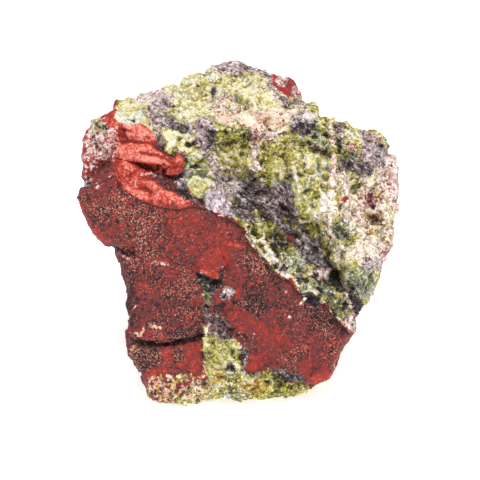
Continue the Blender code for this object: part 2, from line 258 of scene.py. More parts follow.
def beyond_edge(x, z, polygon):
    """Signed distance to a closed polygon: above 0 outside it."""
    distance, _ = along_line(x, z, polygon, closed=True)
    within = np.zeros(x.shape, bool)
    for (ax, az), (bx, bz) in zip(polygon, polygon[1:] + polygon[:1]):
        if az != bz:
            spans = (az > z) != (bz > z)
            within ^= spans & (x < ax + (z - az) / (bz - az) * (bx - ax))
    return np.where(within, -distance, distance)


def smooth(share):
    """A share from 0 to 1, eased at both ends."""
    share = np.clip(share, 0.0, 1.0)
    return share * share * (3.0 - 2.0 * share)


inner_gap = -beyond_edge(np.array(0.0), np.array(28.0), OUTLINE)
print("middle of the edge lies", round(float(inner_gap), 1), "mm inside")

# %% [markdown]
# # Depth of the front
# Seen face on, each place of the front has one depth. So the depth is a map, like a relief map. It
# is worked out once on a fine board and read back from there, which is far quicker than asking
# for every point of the skin again and again.
# %% Work out the depth of the front on a board
BOARD_STEP = 0.12
BOARD_LOW = np.array((-36.0, -12.0))
BOARD_COUNT = (600, 667)
board_x, board_z = np.meshgrid(
    *(low + BOARD_STEP * np.arange(count) for low, count in zip(BOARD_LOW, BOARD_COUNT))
)


def deepest(x, z, faces):
    """Depth of the deepest of several fracture faces at each place."""
    depths = [depth + across * (x - x0) + up * (z - z0) for depth, x0, z0, across, up in faces]
    return np.maximum.reduce(depths)


def carved(x, z):
    """How far grooves, lips, hollows and lumps set the front back."""
    depth = np.zeros(x.shape)
    for points, half_width, most in GROOVES:
        gap, _ = along_line(x, z, points)
        depth += most * np.exp(-((gap / half_width) ** 2))
    for points, drop, reach in LIPS:
        gap, below = along_line(x, z, points)
        fall = np.clip(gap / LIP_STEP, 0.0, 1.0) * np.clip(1.0 - gap / reach, 0.0, 1.0) ** 2
        depth += np.where(below, drop * fall, 0.0)
    for x0, z0, half_width, half_height, most in SWELLS:
        off = ((x - x0) / half_width) ** 2 + ((z - z0) / half_height) ** 2
        depth += most * np.clip(1.0 - off / 2.0, 0.0, 1.0) ** 2
    return depth


def read_board(board, x, z):
    """Values of a board at any places, between its nearest four."""
    across = np.clip((x - BOARD_LOW[0]) / BOARD_STEP, 0.0, BOARD_COUNT[0] - 1.001)
    up = np.clip((z - BOARD_LOW[1]) / BOARD_STEP, 0.0, BOARD_COUNT[1] - 1.001)
    i, j = across.astype(int), up.astype(int)
    s, t = across - i, up - j
    low = board[j, i] * (1.0 - s) + board[j, i + 1] * s
    high = board[j + 1, i] * (1.0 - s) + board[j + 1, i + 1] * s
    return low * (1.0 - t) + high * t


rim_x, rim_z = np.array(RIM).T
terrace = RIM_DEPTH + TERRACE_SLOPE * (board_z - np.interp(board_x, rim_x, rim_z))
top_depth = np.minimum(terrace, deepest(board_x, board_z, FAR_LUMP))
upper_board = np.maximum(deepest(board_x, board_z, UPPER_FACES), top_depth)
edge_board = beyond_edge(board_x, board_z, OUTLINE)
ledge_board = beyond_edge(board_x, board_z, LEDGE)
ramp = np.clip(1.0 + 0.25 * (board_x + 26.0), 1.0, 4.4)
above_ledge = np.clip(-ledge_board / ramp, 0.0, 1.0)
red_depth = deepest(board_x, board_z, RED_FACES)
front_board = red_depth + (upper_board - red_depth) * above_ledge + carved(board_x, board_z)
slope_up, slope_across = np.gradient(front_board, BOARD_STEP)
steep_board = np.sqrt(1.0 + slope_up**2 + slope_across**2)
print("front lies", round(float(front_board[edge_board < 0].min()), 1), "to",
      round(float(front_board[edge_board < 0].max()), 1), "mm deep")

# %% [markdown]
# # The broken surface
# A broken stone is uneven at every size. Smooth noise in four sizes gives its lumps, and scattered
# cells, each with its own tilt, give its chips. Both are seeded, so the stone is the same each time.
# %% Say how far the broken surface stands out


def rounded_most(a, b):
    """The larger of two, with the corner between them rounded off."""
    near = np.clip(1.0 - np.abs(a - b) / EDGE_ROUNDING, 0.0, 1.0)
    return np.maximum(a, b) + EDGE_ROUNDING / 4.0 * near * near


def broad_form(points):
    """Below 0 inside the broad form of the stone, above 0 outside it."""
    x, y, z = points.T
    behind = np.maximum(0.0, y - read_board(upper_board, x, z) - NARROWING_START)
    past_edge = read_board(edge_board, x, z) + NARROWING * behind
    form = rounded_most(read_board(front_board, x, z) - y, past_edge)
    for direction, reach in BACK_FACES:
        outward = np.array(direction) / np.linalg.norm(direction)
        form = rounded_most(form, (points - MIDDLE) @ outward - reach)
    return form


def value_noise(points, size, seed):
    """Smooth seeded noise from -1 to 1 with lumps of one size."""
    values = np.random.default_rng(seed).uniform(-1.0, 1.0, (LATTICE,) * 3)
    corner = np.floor(points / size).astype(int)
    part = smooth(points / size - corner)
    total = np.zeros(len(points))
    for step in np.ndindex(2, 2, 2):
        weight = np.prod(np.where(step, part, 1.0 - part), axis=1)
        cell = (corner + step) % LATTICE
        total += weight * values[cell[:, 0], cell[:, 1], cell[:, 2]]
    return total


def noise_layers(points, layers):
    """Several noises summed: the height, size and seed of each."""
    return sum(height * value_noise(points, size, seed) for height, size, seed in layers)


def chips(points):
    """Height of the chip that each place lies on."""
    dice = np.random.default_rng(SEED)
    centres = dice.uniform(MIDDLE - CASE_HALF, MIDDLE + CASE_HALF, (CHIP_COUNT, 3))
    tilts = dice.normal(0.0, CHIP_TILT, (CHIP_COUNT, 3))
    levels = dice.normal(0.0, CHIP_LEVEL, CHIP_COUNT)
    found = []
    for some in np.array_split(points, max(1, len(points) // 8000)):
        apart = np.sum(some**2, axis=1)[:, None] + np.sum(centres**2, axis=1) - 2.0 * some @ centres.T
        gaps = np.sqrt(np.maximum(apart, 0.0))
        weights = np.exp((gaps.min(axis=1, keepdims=True) - gaps) / CHIP_STEP)
        heights = levels + some @ tilts.T - np.sum(tilts * centres, axis=1)
        found.append(np.sum(weights * heights, axis=1) / np.sum(weights, axis=1))
    return np.concatenate(found)


def stands_out(points):
    """How far the broken surface stands out from the broad form at each place."""
    x, y, z = points.T
    on_red = (y < 5.0) & (read_board(ledge_board, x, z) > 0.0)
    share = np.where(on_red, SMOOTH_SHARE, ROUGH_SHARE)
    behind = y - read_board(upper_board, x, z)
    to_edge = np.abs(read_board(edge_board, x, z))
    at_edge = np.clip(1.5 - to_edge / 2.0, 0.0, 1.0) * np.clip(2.0 - behind / 4.0, 0.0, 1.0)
    lumps = [height * value_noise(points, size, SEED + n) for n, (size, height) in enumerate(UNEVENNESS)]
    return share * (1.0 - EDGE_KEPT * at_edge) * (sum(lumps) + chips(points))


print("chips stand out by about", round(float(np.std(chips(MIDDLE + np.eye(3) * 20.0))), 2), "mm")

# %% [markdown]
# # A fine, even skin
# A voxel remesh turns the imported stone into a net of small, even squares. Each corner then steps
# onto the broken surface, straight out of the stone. A Displace modifier could do that too, but
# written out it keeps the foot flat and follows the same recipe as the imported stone.
# %% Lay the fine skin
VOXEL = 0.29
STEPS = 4
DAMPING = 0.85
SLOPE_REACH = 0.3

stone = bpy.data.objects.new("broken_stone", packed_stone.data.copy())
bpy.context.scene.collection.objects.link(stone)
remesh = stone.modifiers.new("remesh", "REMESH")
remesh.mode = "VOXEL"
remesh.voxel_size = VOXEL * MM
skin = bpy.data.meshes.new_from_object(stone.evaluated_get(bpy.context.evaluated_depsgraph_get()))
stone.modifiers.clear()
stone.data = skin


def corners_of(mesh):
    """A mesh's corners as rows of three numbers."""
    flat = np.zeros(len(mesh.vertices) * 3, np.float32)
    mesh.vertices.foreach_get("co", flat)
    return flat.reshape(-1, 3).astype(float)


def outward_slope(points):
    """Unit direction out of the broad form, and how fast the form rises that way."""
    steps = [SLOPE_REACH * np.eye(3)[axis] for axis in range(3)]
    slopes = [(broad_form(points + s) - broad_form(points - s)) / (2.0 * SLOPE_REACH) for s in steps]
    slopes = np.stack(slopes, axis=1)
    rise = np.maximum(np.linalg.norm(slopes, axis=1), 0.3)
    return slopes / rise[:, None], rise


FOOT_OUTWARD = np.array((0.0, math.sin(LEAN), -math.cos(LEAN)))
places = drawn(corners_of(skin))
start = places.copy()
for number in range(STEPS):
    if number % 2 == 0:
        height = stands_out(places)
        outward, rise = outward_slope(places)
    over = broad_form(places) / rise - height
    under_foot = -leaned(places)[:, 2] / MM
    at_foot = under_foot > over
    direction = np.where(at_foot[:, None], FOOT_OUTWARD, outward)
    places -= DAMPING * np.clip(np.maximum(over, under_foot), -0.8, 0.8)[:, None] * direction
moved = np.linalg.norm(places - start, axis=1)
print("skin has", len(places), "corners, moved", round(float(moved.mean()), 3), "mm on average")

# %% [markdown]
# # Which mineral lies where
# The minerals are laid like a painter's map: first the large bodies, then the small patches on top
# of them. Each patch names a mineral, its tone from 0, dark, to 1, pale, how wide its border is,
# and an outline drawn in millimetres. Lines and dots do the same for veins and single grains.
# %% Tools for the mineral map
MINERALS = [
    "jasper", "epidote", "slate", "lavender", "rosy", "pale", "celadon", "ochre", "beige", "quartz",
]
BORDER_WIDENING = 1.9
LINE_SOFTNESS = 0.22
BREAK_SIZE = 0.9

flat_board = np.stack([board_x.ravel(), np.zeros(board_x.size), board_z.ravel()], axis=1)
broken_board = smooth(1.1 + 1.6 * value_noise(flat_board, BREAK_SIZE, 90).reshape(board_x.shape))


def new_map(mineral, tone):
    """A map that holds one mineral everywhere."""
    fields = {name: np.zeros(board_x.shape) for name in MINERALS}
    fields[mineral] += 1.0
    fields["tone"] = np.full(board_x.shape, tone)
    return fields


def lay(fields, window, cover, mineral, tone):
    """Lays one mineral over what the map holds, by its cover from 0 to 1."""
    for name in MINERALS:
        fields[name][window] *= 1.0 - cover
    fields[mineral][window] += cover
    fields["tone"][window] += (tone - fields["tone"][window]) * cover


def window_round(points, margin):
    """The part of the board round some points."""
    low = ((np.min(points, axis=0) - margin - BOARD_LOW) / BOARD_STEP).astype(int)
    high = ((np.max(points, axis=0) + margin - BOARD_LOW) / BOARD_STEP).astype(int) + 2
    low = np.maximum(low, 0)
    return slice(low[1], max(high[1], 1)), slice(low[0], max(high[0], 1))


def lay_patches(fields, patches):
    """Patches: mineral, tone, width of the border, outline."""
    for mineral, tone, border, outline in patches:
        width = border * (1.0 if mineral == "jasper" else BORDER_WIDENING)
        window = window_round(outline, width)
        gap = beyond_edge(board_x[window], board_z[window], outline)
        lay(fields, window, smooth(0.5 - gap / width), mineral, tone)


def lay_lines(fields, lines):
    """Lines, broken here and there: mineral, tone, half width, points."""
    for mineral, tone, half_width, points in lines:
        window = window_round(points, half_width + 1.0)
        gap, _ = along_line(board_x[window], board_z[window], points)
        cover = smooth(1.0 - (gap - half_width * 0.5) / (half_width + LINE_SOFTNESS))
        lay(fields, window, cover * broken_board[window], mineral, tone)


def lay_dots(fields, dots):
    """Dots: mineral, tone, radius, place."""
    for mineral, tone, radius, (x0, z0) in dots:
        window = window_round([(x0, z0)], radius + 1.0)
        gap = np.hypot(board_x[window] - x0, board_z[window] - z0)
        lay(fields, window, smooth(1.0 - (gap - radius * 0.6) / (radius * 0.8)), mineral, tone)


front = new_map("jasper", 0.40)
print("map knows", len(MINERALS), "minerals")

# %% [markdown]
# # Outlines that are used twice
# Some planes, ridges and cracks show in colour and also stand out or cut in. Each of them is drawn
# once here, so that its colour and its height can't drift apart.
# %% Draw the shared outlines
HIGH_PLANE = [
    (-20.4, 43.0), (-15.0, 42.7), (-13.3, 41.4), (-11.7, 40.3), (-12.3, 39.3), (-15.0, 38.7),
    (-17.3, 39.7), (-20.0, 40.0),
]
RIGHT_PLANE = [(-11.9, 39.9), (-10.1, 41.2), (-9.1, 40.3), (-9.5, 38.2), (-10.3, 37.3), (-13.0, 37.4)]
BENCH = [
    (-20.8, 36.8), (-17.5, 37.1), (-15.0, 36.6), (-12.5, 35.2), (-10.3, 34.3), (-7.4, 33.4),
    (-8.3, 32.2), (-10.0, 31.7), (-12.5, 32.0), (-15.0, 32.9), (-17.5, 34.0), (-19.4, 35.2),
]
QUARTZ_LUMP = [
    (-5.9, 34.5), (-4.5, 36.1), (-3.7, 36.4), (-2.0, 35.1), (-1.3, 33.3), (-0.6, 30.6), (-2.5, 30.8),
    (-4.2, 31.2), (-5.6, 32.3),
]
OCHRE_DIP = [(21.0, 31.0), (23.6, 31.0), (23.6, 29.2), (21.3, 29.2)]
# Both cracks are cut into the skin; their dark lines on the map are painted shade.
CORNER_CRACK_AND_SHADE = [(-19.2, 10.4), (-17.2, 9.9), (-14.2, 9.3), (-11.7, 9.5), (-8.3, 10.3), (-6.6, 10.7)]
LIP_CRACK_AND_SHADOW = [(-6.8, 20.9), (-3.4, 19.5), (-2.9, 21.7)]
VEIN_CRACK = [(-2.9, 15.9), (-0.6, 16.2), (0.4, 15.8)]
PALE_RIDGE = [(15.3, 46.6), (15.2, 43.3), (15.6, 40.0), (15.5, 36.7), (15.2, 34.6)]
LOW_RIDGE = [(14.9, 29.8), (15.0, 28.2), (15.8, 26.6), (16.6, 25.4)]
MIDDLE_RIDGE = [(8.9, 38.6), (9.4, 36.8), (10.0, 35.2), (9.7, 33.6)]
SEAM_SPUR = [(3.7, 27.2), (4.7, 25.2), (5.8, 23.6)]
TIP_RIDGE = [(17.6, 21.0), (17.4, 19.2), (17.8, 17.2), (18.6, 15.4)]
SEAM_END = [(13.6, 16.9), (15.3, 14.7), (16.4, 13.5), (18.2, 12.2)]
print("shared outlines and lines:", 14)

# %% [markdown]
# # The large bodies
# Red jasper is the ground of the whole lower front. A body of green epidote covers the upper right
# and the top, and a second one lies along the bottom. The border between them is sharp, because
# the two minerals met along an old crack.
# %% Lay the green bodies and the pale body
GREEN_BODY = [
    (-20.3, 48.7), (-20.0, 46.3), (-15.0, 45.3), (-13.7, 43.3), (-12.3, 41.7), (-11.7, 40.3),
    (-9.0, 41.7), (-8.3, 40.0), (-8.5, 38.0), (-9.5, 37.0), (-8.3, 35.3), (-5.5, 32.5),
    (-1.3, 30.7), (0.8, 28.0), (2.0, 25.8), (3.0, 24.5), (4.5, 23.2), (5.0, 21.7), (6.7, 20.8),
    (8.8, 19.7), (9.7, 18.2), (10.0, 17.2), (13.5, 16.7), (15.2, 14.5), (16.3, 13.3),
    (17.5, 12.5), (19.5, 11.2), (34.0, 11.0), (34.0, 64.0), (-24.0, 64.0),
]
FOOT_BODY = [
    (-6.2, 13.0), (-4.7, 11.7), (-3.0, 10.3), (-0.8, 10.3), (0.5, 9.2), (0.0, 7.0), (0.5, 5.0),
    (2.5, 4.7), (5.0, 5.0), (6.7, 3.7), (10.0, 2.8), (12.0, 2.7), (14.3, 2.0), (10.0, -6.0),
    (-6.0, -6.0), (-6.2, 4.7),
]
PALE_BODY = [
    (15.5, 38.3), (20.0, 38.0), (24.2, 40.0), (28.0, 40.0), (28.0, 26.7), (25.3, 22.5), (22.5, 23.0),
    (17.5, 23.0), (15.0, 25.0), (13.0, 28.0), (12.0, 31.3), (13.7, 35.0), (15.0, 35.8),
]
lay_patches(front, [
    ("epidote", 0.56, 0.25, GREEN_BODY),
    ("epidote", 0.52, 0.30, FOOT_BODY),
    ("pale", 0.62, 1.4, PALE_BODY),
])
print("green covers", round(float(front["epidote"][edge_board < 0].mean()) * 100), "% of the front")

# %% [markdown]
# # The red face
# The jasper isn't one red. Where the break is fresh and smooth it is bright, where iron and quartz
# grains are mixed in it is dull maroon, and close to the green it turns nearly purple.
# %% Lay the tones of the red face
lay_patches(front, [
    ("jasper", 0.40, 3.0, [(-26.3, 35.0), (-20.0, 35.8), (-13.3, 32.5), (-10.8, 28.3), (-10.0, 23.0),
        (-18.3, 24.0), (-20.3, 25.8), (-24.0, 27.5), (-26.3, 31.3)]),
    ("jasper", 0.40, 2.5, [(-18.0, 23.0), (-9.0, 24.0), (-6.5, 20.5), (-7.0, 16.0), (-12.0, 17.5),
        (-17.0, 17.5)]),
    ("jasper", 0.46, 1.6, [(-12.5, 31.5), (-7.5, 32.3), (-4.2, 30.0), (-2.0, 28.0), (-2.5, 25.8),
        (-0.5, 24.2), (-0.5, 21.0), (-3.0, 19.7), (-6.7, 21.3), (-8.3, 23.0), (-10.8, 24.2),
        (-12.5, 27.0)]),
    ("jasper", 0.32, 1.8, [(-1.6, 29.7), (1.2, 26.7), (3.7, 23.0), (6.7, 20.3), (9.7, 17.2),
        (10.0, 15.3), (6.7, 14.7), (3.7, 16.7), (1.7, 19.2), (0.2, 23.0), (-0.7, 26.7)]),
    ("jasper", 0.16, 1.4, [(0.5, 19.2), (3.7, 18.3), (5.0, 15.3), (3.0, 13.0), (1.0, 14.7),
        (0.5, 16.7)]),
    ("jasper", 0.40, 2.2, [(5.0, 15.0), (10.0, 14.6), (15.0, 11.7), (18.5, 9.2), (16.5, 4.0),
        (13.3, 1.8), (8.3, 4.6), (3.7, 7.5), (1.5, 9.5), (4.2, 12.5)]),
    ("jasper", 0.22, 1.4, [(10.5, 16.6), (14.5, 14.6), (18.5, 11.0), (17.0, 10.6), (13.5, 12.5),
        (10.6, 14.8)]),
    ("jasper", 0.49, 1.4, [(-2.5, 16.2), (0.8, 15.8), (2.5, 13.7), (5.0, 11.3), (8.3, 10.0),
        (10.0, 9.2), (7.5, 8.3), (4.2, 9.2), (1.7, 10.8), (-1.3, 11.7), (-2.3, 13.7)]),
    ("jasper", 0.54, 1.6, [(9.7, 6.5), (11.7, 7.0), (13.7, 5.9), (13.4, 4.2), (12.0, 3.2), (10.3, 4.8)]),
    ("jasper", 0.52, 1.2, [(11.8, 4.7), (14.6, 5.3), (15.8, 4.2), (13.7, 2.5), (11.7, 3.0)]),
    ("jasper", 0.54, 1.2, [(0.8, 8.3), (2.8, 8.0), (3.7, 6.3), (2.7, 4.8), (1.0, 5.2)]),
    ("jasper", 0.53, 0.4, [(-7.3, 23.0), (-5.8, 25.0), (-3.0, 25.8), (-1.3, 23.3), (-3.0, 21.7),
        (-3.3, 19.7), (-6.7, 21.2)]),
    ("jasper", 0.54, 0.9, [(-3.8, 19.0), (-1.8, 20.1), (0.2, 18.6), (-0.2, 16.6), (-2.4, 15.9),
        (-4.0, 17.2)]),
    ("slate", 0.24, 0.6, [(4.7, 5.3), (7.5, 5.3), (11.0, 3.7), (10.7, 2.7), (7.5, 3.3), (5.3, 4.2)]),
    ("lavender", 0.38, 0.5, [(0.0, 9.2), (1.0, 9.3), (1.2, 8.0), (0.9, 5.0), (3.7, 4.2), (2.5, 3.7),
        (0.3, 4.7)]),
    ("slate", 0.36, 0.6, [(-7.0, 21.3), (-5.3, 20.3), (-3.3, 19.7), (-4.2, 18.3), (-4.5, 16.7),
        (-5.0, 14.7), (-5.8, 13.3), (-6.7, 13.0), (-6.3, 15.3), (-6.3, 17.3), (-7.0, 19.3)]),
    ("celadon", 0.30, 0.5, [(-5.9, 18.2), (-5.0, 18.0), (-5.1, 16.5), (-5.8, 16.8)]),
    ("jasper", 0.12, 0.6, [(-4.7, 16.0), (-2.7, 16.2), (-2.7, 14.8), (-4.3, 14.5)]),
    ("lavender", 0.30, 0.7, [(-5.8, 14.3), (-3.3, 14.7), (-2.3, 13.3), (-1.3, 11.7), (-0.7, 10.5),
        (-3.0, 10.4), (-4.7, 11.8), (-5.6, 12.6)]),
])
print("red runs from tone", round(float(front["tone"][ledge_board > 0].min()), 2), "up")
# %% Lay the lower left of the red face
lay_patches(front, [
    ("jasper", 0.34, 2.0, [(-16.7, 17.5), (-6.7, 17.5), (-6.0, 14.0), (-8.0, 11.7), (-15.0, 12.0),
        (-18.0, 14.0)]),
    ("jasper", 0.16, 1.0, [(-20.6, 25.2), (-18.3, 24.0), (-17.4, 19.7), (-16.9, 16.7), (-17.5, 12.5),
        (-19.6, 12.4), (-20.0, 16.7), (-20.0, 21.0)]),
    ("jasper", 0.14, 0.8, [(-12.0, 11.5), (-9.2, 12.0), (-6.7, 11.5), (-6.3, 10.3), (-9.2, 9.8),
        (-11.7, 9.8)]),
    ("jasper", 0.20, 1.0, [(-19.6, 9.6), (-15.0, 9.3), (-13.0, 8.0), (-13.3, 5.7), (-15.3, 4.3),
        (-18.0, 5.4)]),
    ("jasper", 0.51, 1.4, [(-13.3, 9.0), (-9.2, 9.5), (-6.5, 9.8), (-6.2, 5.3), (-9.2, 4.7),
        (-12.0, 5.7)]),
    ("jasper", 0.22, 0.9, [(-11.0, 8.6), (-9.4, 8.8), (-9.0, 7.0), (-10.8, 6.4)]),
    ("jasper", 0.64, 0.7, [(-15.6, 5.2), (-12.3, 5.3), (-12.0, 3.7), (-14.6, 2.8)]),
    ("jasper", 0.40, 1.4, [(-15.8, 3.1), (-10.8, 4.5), (-6.3, 4.9), (-5.5, 2.5), (-5.6, -2.0),
        (-16.0, -2.0)]),
    ("epidote", 0.44, 1.0, [(-10.3, 0.9), (-6.2, 1.2), (-5.0, -3.0), (-10.6, -3.0)]),
    ("epidote", 0.52, 0.9, [(-8.6, 3.0), (-6.2, 3.4), (-6.0, 1.6), (-8.2, 1.2)]),
    ("epidote", 0.62, 1.0, [(-5.9, 10.0), (-3.5, 9.6), (-1.2, 9.4), (-0.6, 7.2), (-3.0, 6.6),
        (-5.7, 7.0)]),
    ("epidote", 0.47, 1.4, [(-6.0, 1.9), (-1.0, 1.9), (6.0, 2.4), (10.0, 2.2), (10.0, -3.0),
        (-6.0, -3.0)]),
    ("ochre", 0.46, 1.4, [(0.6, 2.6), (3.4, 3.4), (5.6, 2.6), (4.2, 1.4), (1.4, 1.4)]),
    ("ochre", 0.56, 1.2, [(-4.6, 4.4), (-3.0, 4.8), (-2.6, 3.2), (-4.4, 2.8)]),
])
lay_lines(front, [
    ("jasper", 0.70, 0.10, [(-3.8, 26.7), (-2.0, 25.8), (0.8, 25.5)]),
    # Painted highlight on the flake's edge, then the flake's painted shadow below it.
    ("jasper", 0.90, 0.16, [(-6.6, 21.5), (-3.5, 20.2)]),
    ("slate", 0.00, 0.24, LIP_CRACK_AND_SHADOW),
    ("jasper", 0.06, 0.20, VEIN_CRACK),
    ("jasper", 0.08, 0.20, [(-3.4, 11.6), (-1.6, 11.1), (1.0, 10.4)]),
    ("jasper", 0.10, 0.24, [(-10.6, 18.0), (-8.4, 17.6), (-6.4, 17.9)]),
    ("rosy", 0.48, 0.10, [(-20.3, 24.3), (-17.5, 23.3), (-14.0, 22.8), (-10.8, 22.5)]),
    ("slate", 0.10, 0.12, [(-20.8, 25.4), (-19.2, 24.7)]),
    ("quartz", 0.80, 0.10, [(-18.2, 14.0), (-17.0, 15.8)]),
    ("beige", 0.46, 0.10, [(-19.0, 11.4), (-17.0, 11.1), (-16.5, 10.8), (-14.7, 12.5), (-12.5, 12.0)]),
    # Painted shade: the dark line in the corner crack.
    ("slate", 0.06, 0.20, CORNER_CRACK_AND_SHADE),
    ("beige", 0.30, 0.12, [(-18.4, 7.8), (-17.5, 9.0), (-15.8, 9.5)]),
    ("jasper", 0.54, 0.30, [(-26.6, 33.0), (-25.9, 31.0), (-24.1, 28.1), (-22.4, 26.2), (-21.0, 26.1)]),
    ("jasper", 0.60, 0.20, [(-15.0, 4.4), (-14.0, 1.6), (-12.3, 0.2)]),
])
lay_dots(front, [
    ("slate", 0.22, 1.25, (-2.2, 17.8)), ("pale", 0.62, 1.0, (-1.95, 18.0)),
    ("quartz", 0.60, 0.55, (-1.6, 17.8)), ("rosy", 0.40, 0.3, (-2.3, 18.2)),
    ("quartz", 0.95, 0.3, (-1.8, 18.4)), ("epidote", 0.86, 1.1, (-1.6, 5.6)),
    ("slate", 0.14, 0.72, (-1.6, 5.5)), ("celadon", 0.50, 0.3, (-1.9, 5.3)),
    ("slate", 0.04, 0.34, (-13.8, 8.5)), ("jasper", 0.20, 0.4, (-8.2, 17.9)),
    ("jasper", 0.30, 0.3, (-6.4, 23.9)), ("quartz", 0.90, 0.24, (7.6, 18.1)),
    ("quartz", 0.90, 0.24, (8.0, 13.9)), ("quartz", 0.85, 0.22, (2.4, 10.9)),
])
CORNER_DOTS = 320
CORNER_MINERALS = ["beige", "beige", "ochre", "epidote", "epidote", "rosy"]
CORNER_LEAST = (-15.4, -1.5, 0.14, 0.20, 0)
CORNER_MOST = (-5.4, 4.3, 0.38, 0.72, len(CORNER_MINERALS))
dice = np.random.default_rng(23)
for x0, z0, radius, tone, pick in dice.uniform(CORNER_LEAST, CORNER_MOST, (CORNER_DOTS, 5)):
    lay_dots(front, [(CORNER_MINERALS[int(pick)], tone, radius, (x0, z0))])
print("lower left laid, with", CORNER_DOTS, "mixed dots in its corner")

# %% [markdown]
# # The left shoulder
# A separate looking block stands at the far left, speckled pink and white like salami. Beside it
# the jasper broke into clean planes with one dark hollow between them, and below them a bench steps
# forward to the red face. The planes and the bench are painted pale salmon, as jasper looks where it
# faces the light, their palest lines are painted highlights on lit edges, and the darkest patches, in
# the block's pit and under the planes, are painted shade.
# %% Lay the left shoulder
lay_patches(front, [
    ("rosy", 0.68, 0.9, [(-27.0, 45.0), (-25.6, 47.0), (-22.5, 48.6), (-20.6, 48.6), (-20.3, 45.8),
        (-20.0, 41.7), (-20.7, 38.0), (-25.3, 35.8), (-27.0, 37.0)]),
    ("celadon", 0.45, 1.0, [(-25.2, 46.9), (-22.6, 47.0), (-22.4, 44.7), (-24.9, 44.5)]),
    ("jasper", 0.70, 0.7, [(-22.8, 47.6), (-21.0, 48.6), (-20.5, 46.7), (-20.9, 45.2), (-22.3, 46.0)]),
    ("jasper", 0.62, 0.6, [(-26.8, 45.2), (-25.5, 45.0), (-25.7, 43.3), (-26.8, 43.0)]),
    ("jasper", 0.45, 0.6, [(-27.0, 42.3), (-25.8, 42.2), (-25.8, 41.0), (-27.0, 40.8)]),
    ("rosy", 0.53, 1.6, [(-27.0, 41.0), (-23.3, 41.5), (-20.7, 40.3), (-20.7, 38.0), (-22.7, 36.7),
        (-25.6, 35.5)]),
    # Painted shade: the dark pit in the block.
    ("jasper", 0.12, 0.7, [(-23.4, 38.9), (-22.3, 39.7), (-21.0, 39.4), (-21.2, 38.2), (-22.8, 37.7)]),
    # Painted light: from here to the bench, the jasper planes are painted pale salmon where they face the
    # light.
    ("jasper", 0.95, 0.7, [(-20.3, 46.3), (-17.5, 46.0), (-15.0, 45.3), (-13.5, 43.3), (-15.0, 43.0),
        (-20.2, 43.2)]),
    ("jasper", 0.94, 0.7, HIGH_PLANE),
    ("jasper", 0.80, 0.8, [(-21.0, 40.4), (-18.6, 39.9), (-16.7, 38.4), (-15.0, 37.3), (-20.0, 36.7),
        (-21.3, 38.0)]),
    ("jasper", 0.84, 0.4, [(-17.9, 40.3), (-15.3, 39.6), (-13.7, 39.3), (-11.9, 39.9), (-13.3, 38.2),
        (-15.0, 37.9), (-16.7, 38.9)]),
    ("jasper", 0.36, 0.4, [(-16.4, 39.4), (-15.3, 39.0), (-13.7, 38.8), (-12.8, 39.2), (-13.5, 38.5),
        (-14.8, 38.2)]),
    ("slate", 0.40, 0.5, [(-12.0, 40.4), (-10.1, 42.0), (-8.5, 41.0), (-8.4, 39.2), (-9.3, 37.3),
        (-10.6, 37.0)]),
    ("jasper", 0.79, 0.5, RIGHT_PLANE),
    ("jasper", 0.87, 0.6, BENCH),
    # Painted shadow: the dark patch under the planes, above the bench.
    ("jasper", 0.18, 0.7, [(-15.0, 37.1), (-12.8, 37.3), (-11.3, 36.4), (-10.6, 35.3), (-12.0, 34.9),
        (-13.7, 35.9)]),
    ("slate", 0.36, 0.7, [(-11.0, 36.9), (-8.7, 37.1), (-8.2, 35.5), (-10.3, 35.2)]),
    ("slate", 0.08, 0.6, [(-10.5, 35.3), (-9.0, 35.3), (-7.7, 34.1), (-5.8, 33.4), (-6.2, 32.6),
        (-8.3, 33.2), (-10.0, 34.1)]),
])
# Painted highlights: the palest lines below lie on the lit edges of the planes and the bench.
lay_lines(front, [
    ("rosy", 0.40, 0.30, [(-26.2, 36.0), (-23.8, 36.8), (-21.6, 37.6)]),
    ("slate", 0.05, 0.25, [(-26.0, 35.6), (-25.0, 35.9)]),
    ("jasper", 0.93, 0.18, [(-20.0, 42.3), (-17.6, 42.4), (-15.2, 42.0)]),
    ("jasper", 0.46, 0.13, [(-16.9, 41.4), (-15.3, 41.3), (-13.7, 40.7), (-12.1, 39.9)]),
    ("jasper", 0.96, 0.10, [(-17.0, 41.7), (-15.2, 41.6), (-13.6, 41.0)]),
    ("jasper", 0.52, 0.12, [(-20.2, 45.2), (-18.4, 44.9), (-17.2, 44.2), (-15.3, 44.0)]),
    ("jasper", 0.97, 0.09, [(-18.2, 45.3), (-17.0, 44.6), (-15.2, 44.4)]),
    ("rosy", 0.84, 0.12, [(-16.8, 37.3), (-15.0, 37.7), (-12.7, 37.2)]),
    ("jasper", 0.50, 0.12, [(-20.3, 39.5), (-19.0, 38.4), (-17.6, 38.0)]),
    ("jasper", 0.48, 0.12, [(-14.6, 32.9), (-13.0, 33.2), (-11.0, 33.0)]),
    ("jasper", 0.50, 0.22, [(-19.8, 42.9), (-18.0, 43.0), (-16.6, 42.8)]),
    ("jasper", 0.92, 0.15, [(-11.8, 38.2), (-12.4, 39.2), (-11.6, 40.0)]),
    ("jasper", 0.92, 0.16, [(-19.0, 38.9), (-17.4, 38.0), (-16.6, 37.5)]),
    ("jasper", 0.94, 0.15, [(-18.6, 34.6), (-15.6, 33.3), (-12.6, 32.3), (-9.8, 32.0)]),
    ("jasper", 0.62, 0.25, [(-16.5, 35.4), (-14.2, 34.4), (-12.4, 33.6)]),
])
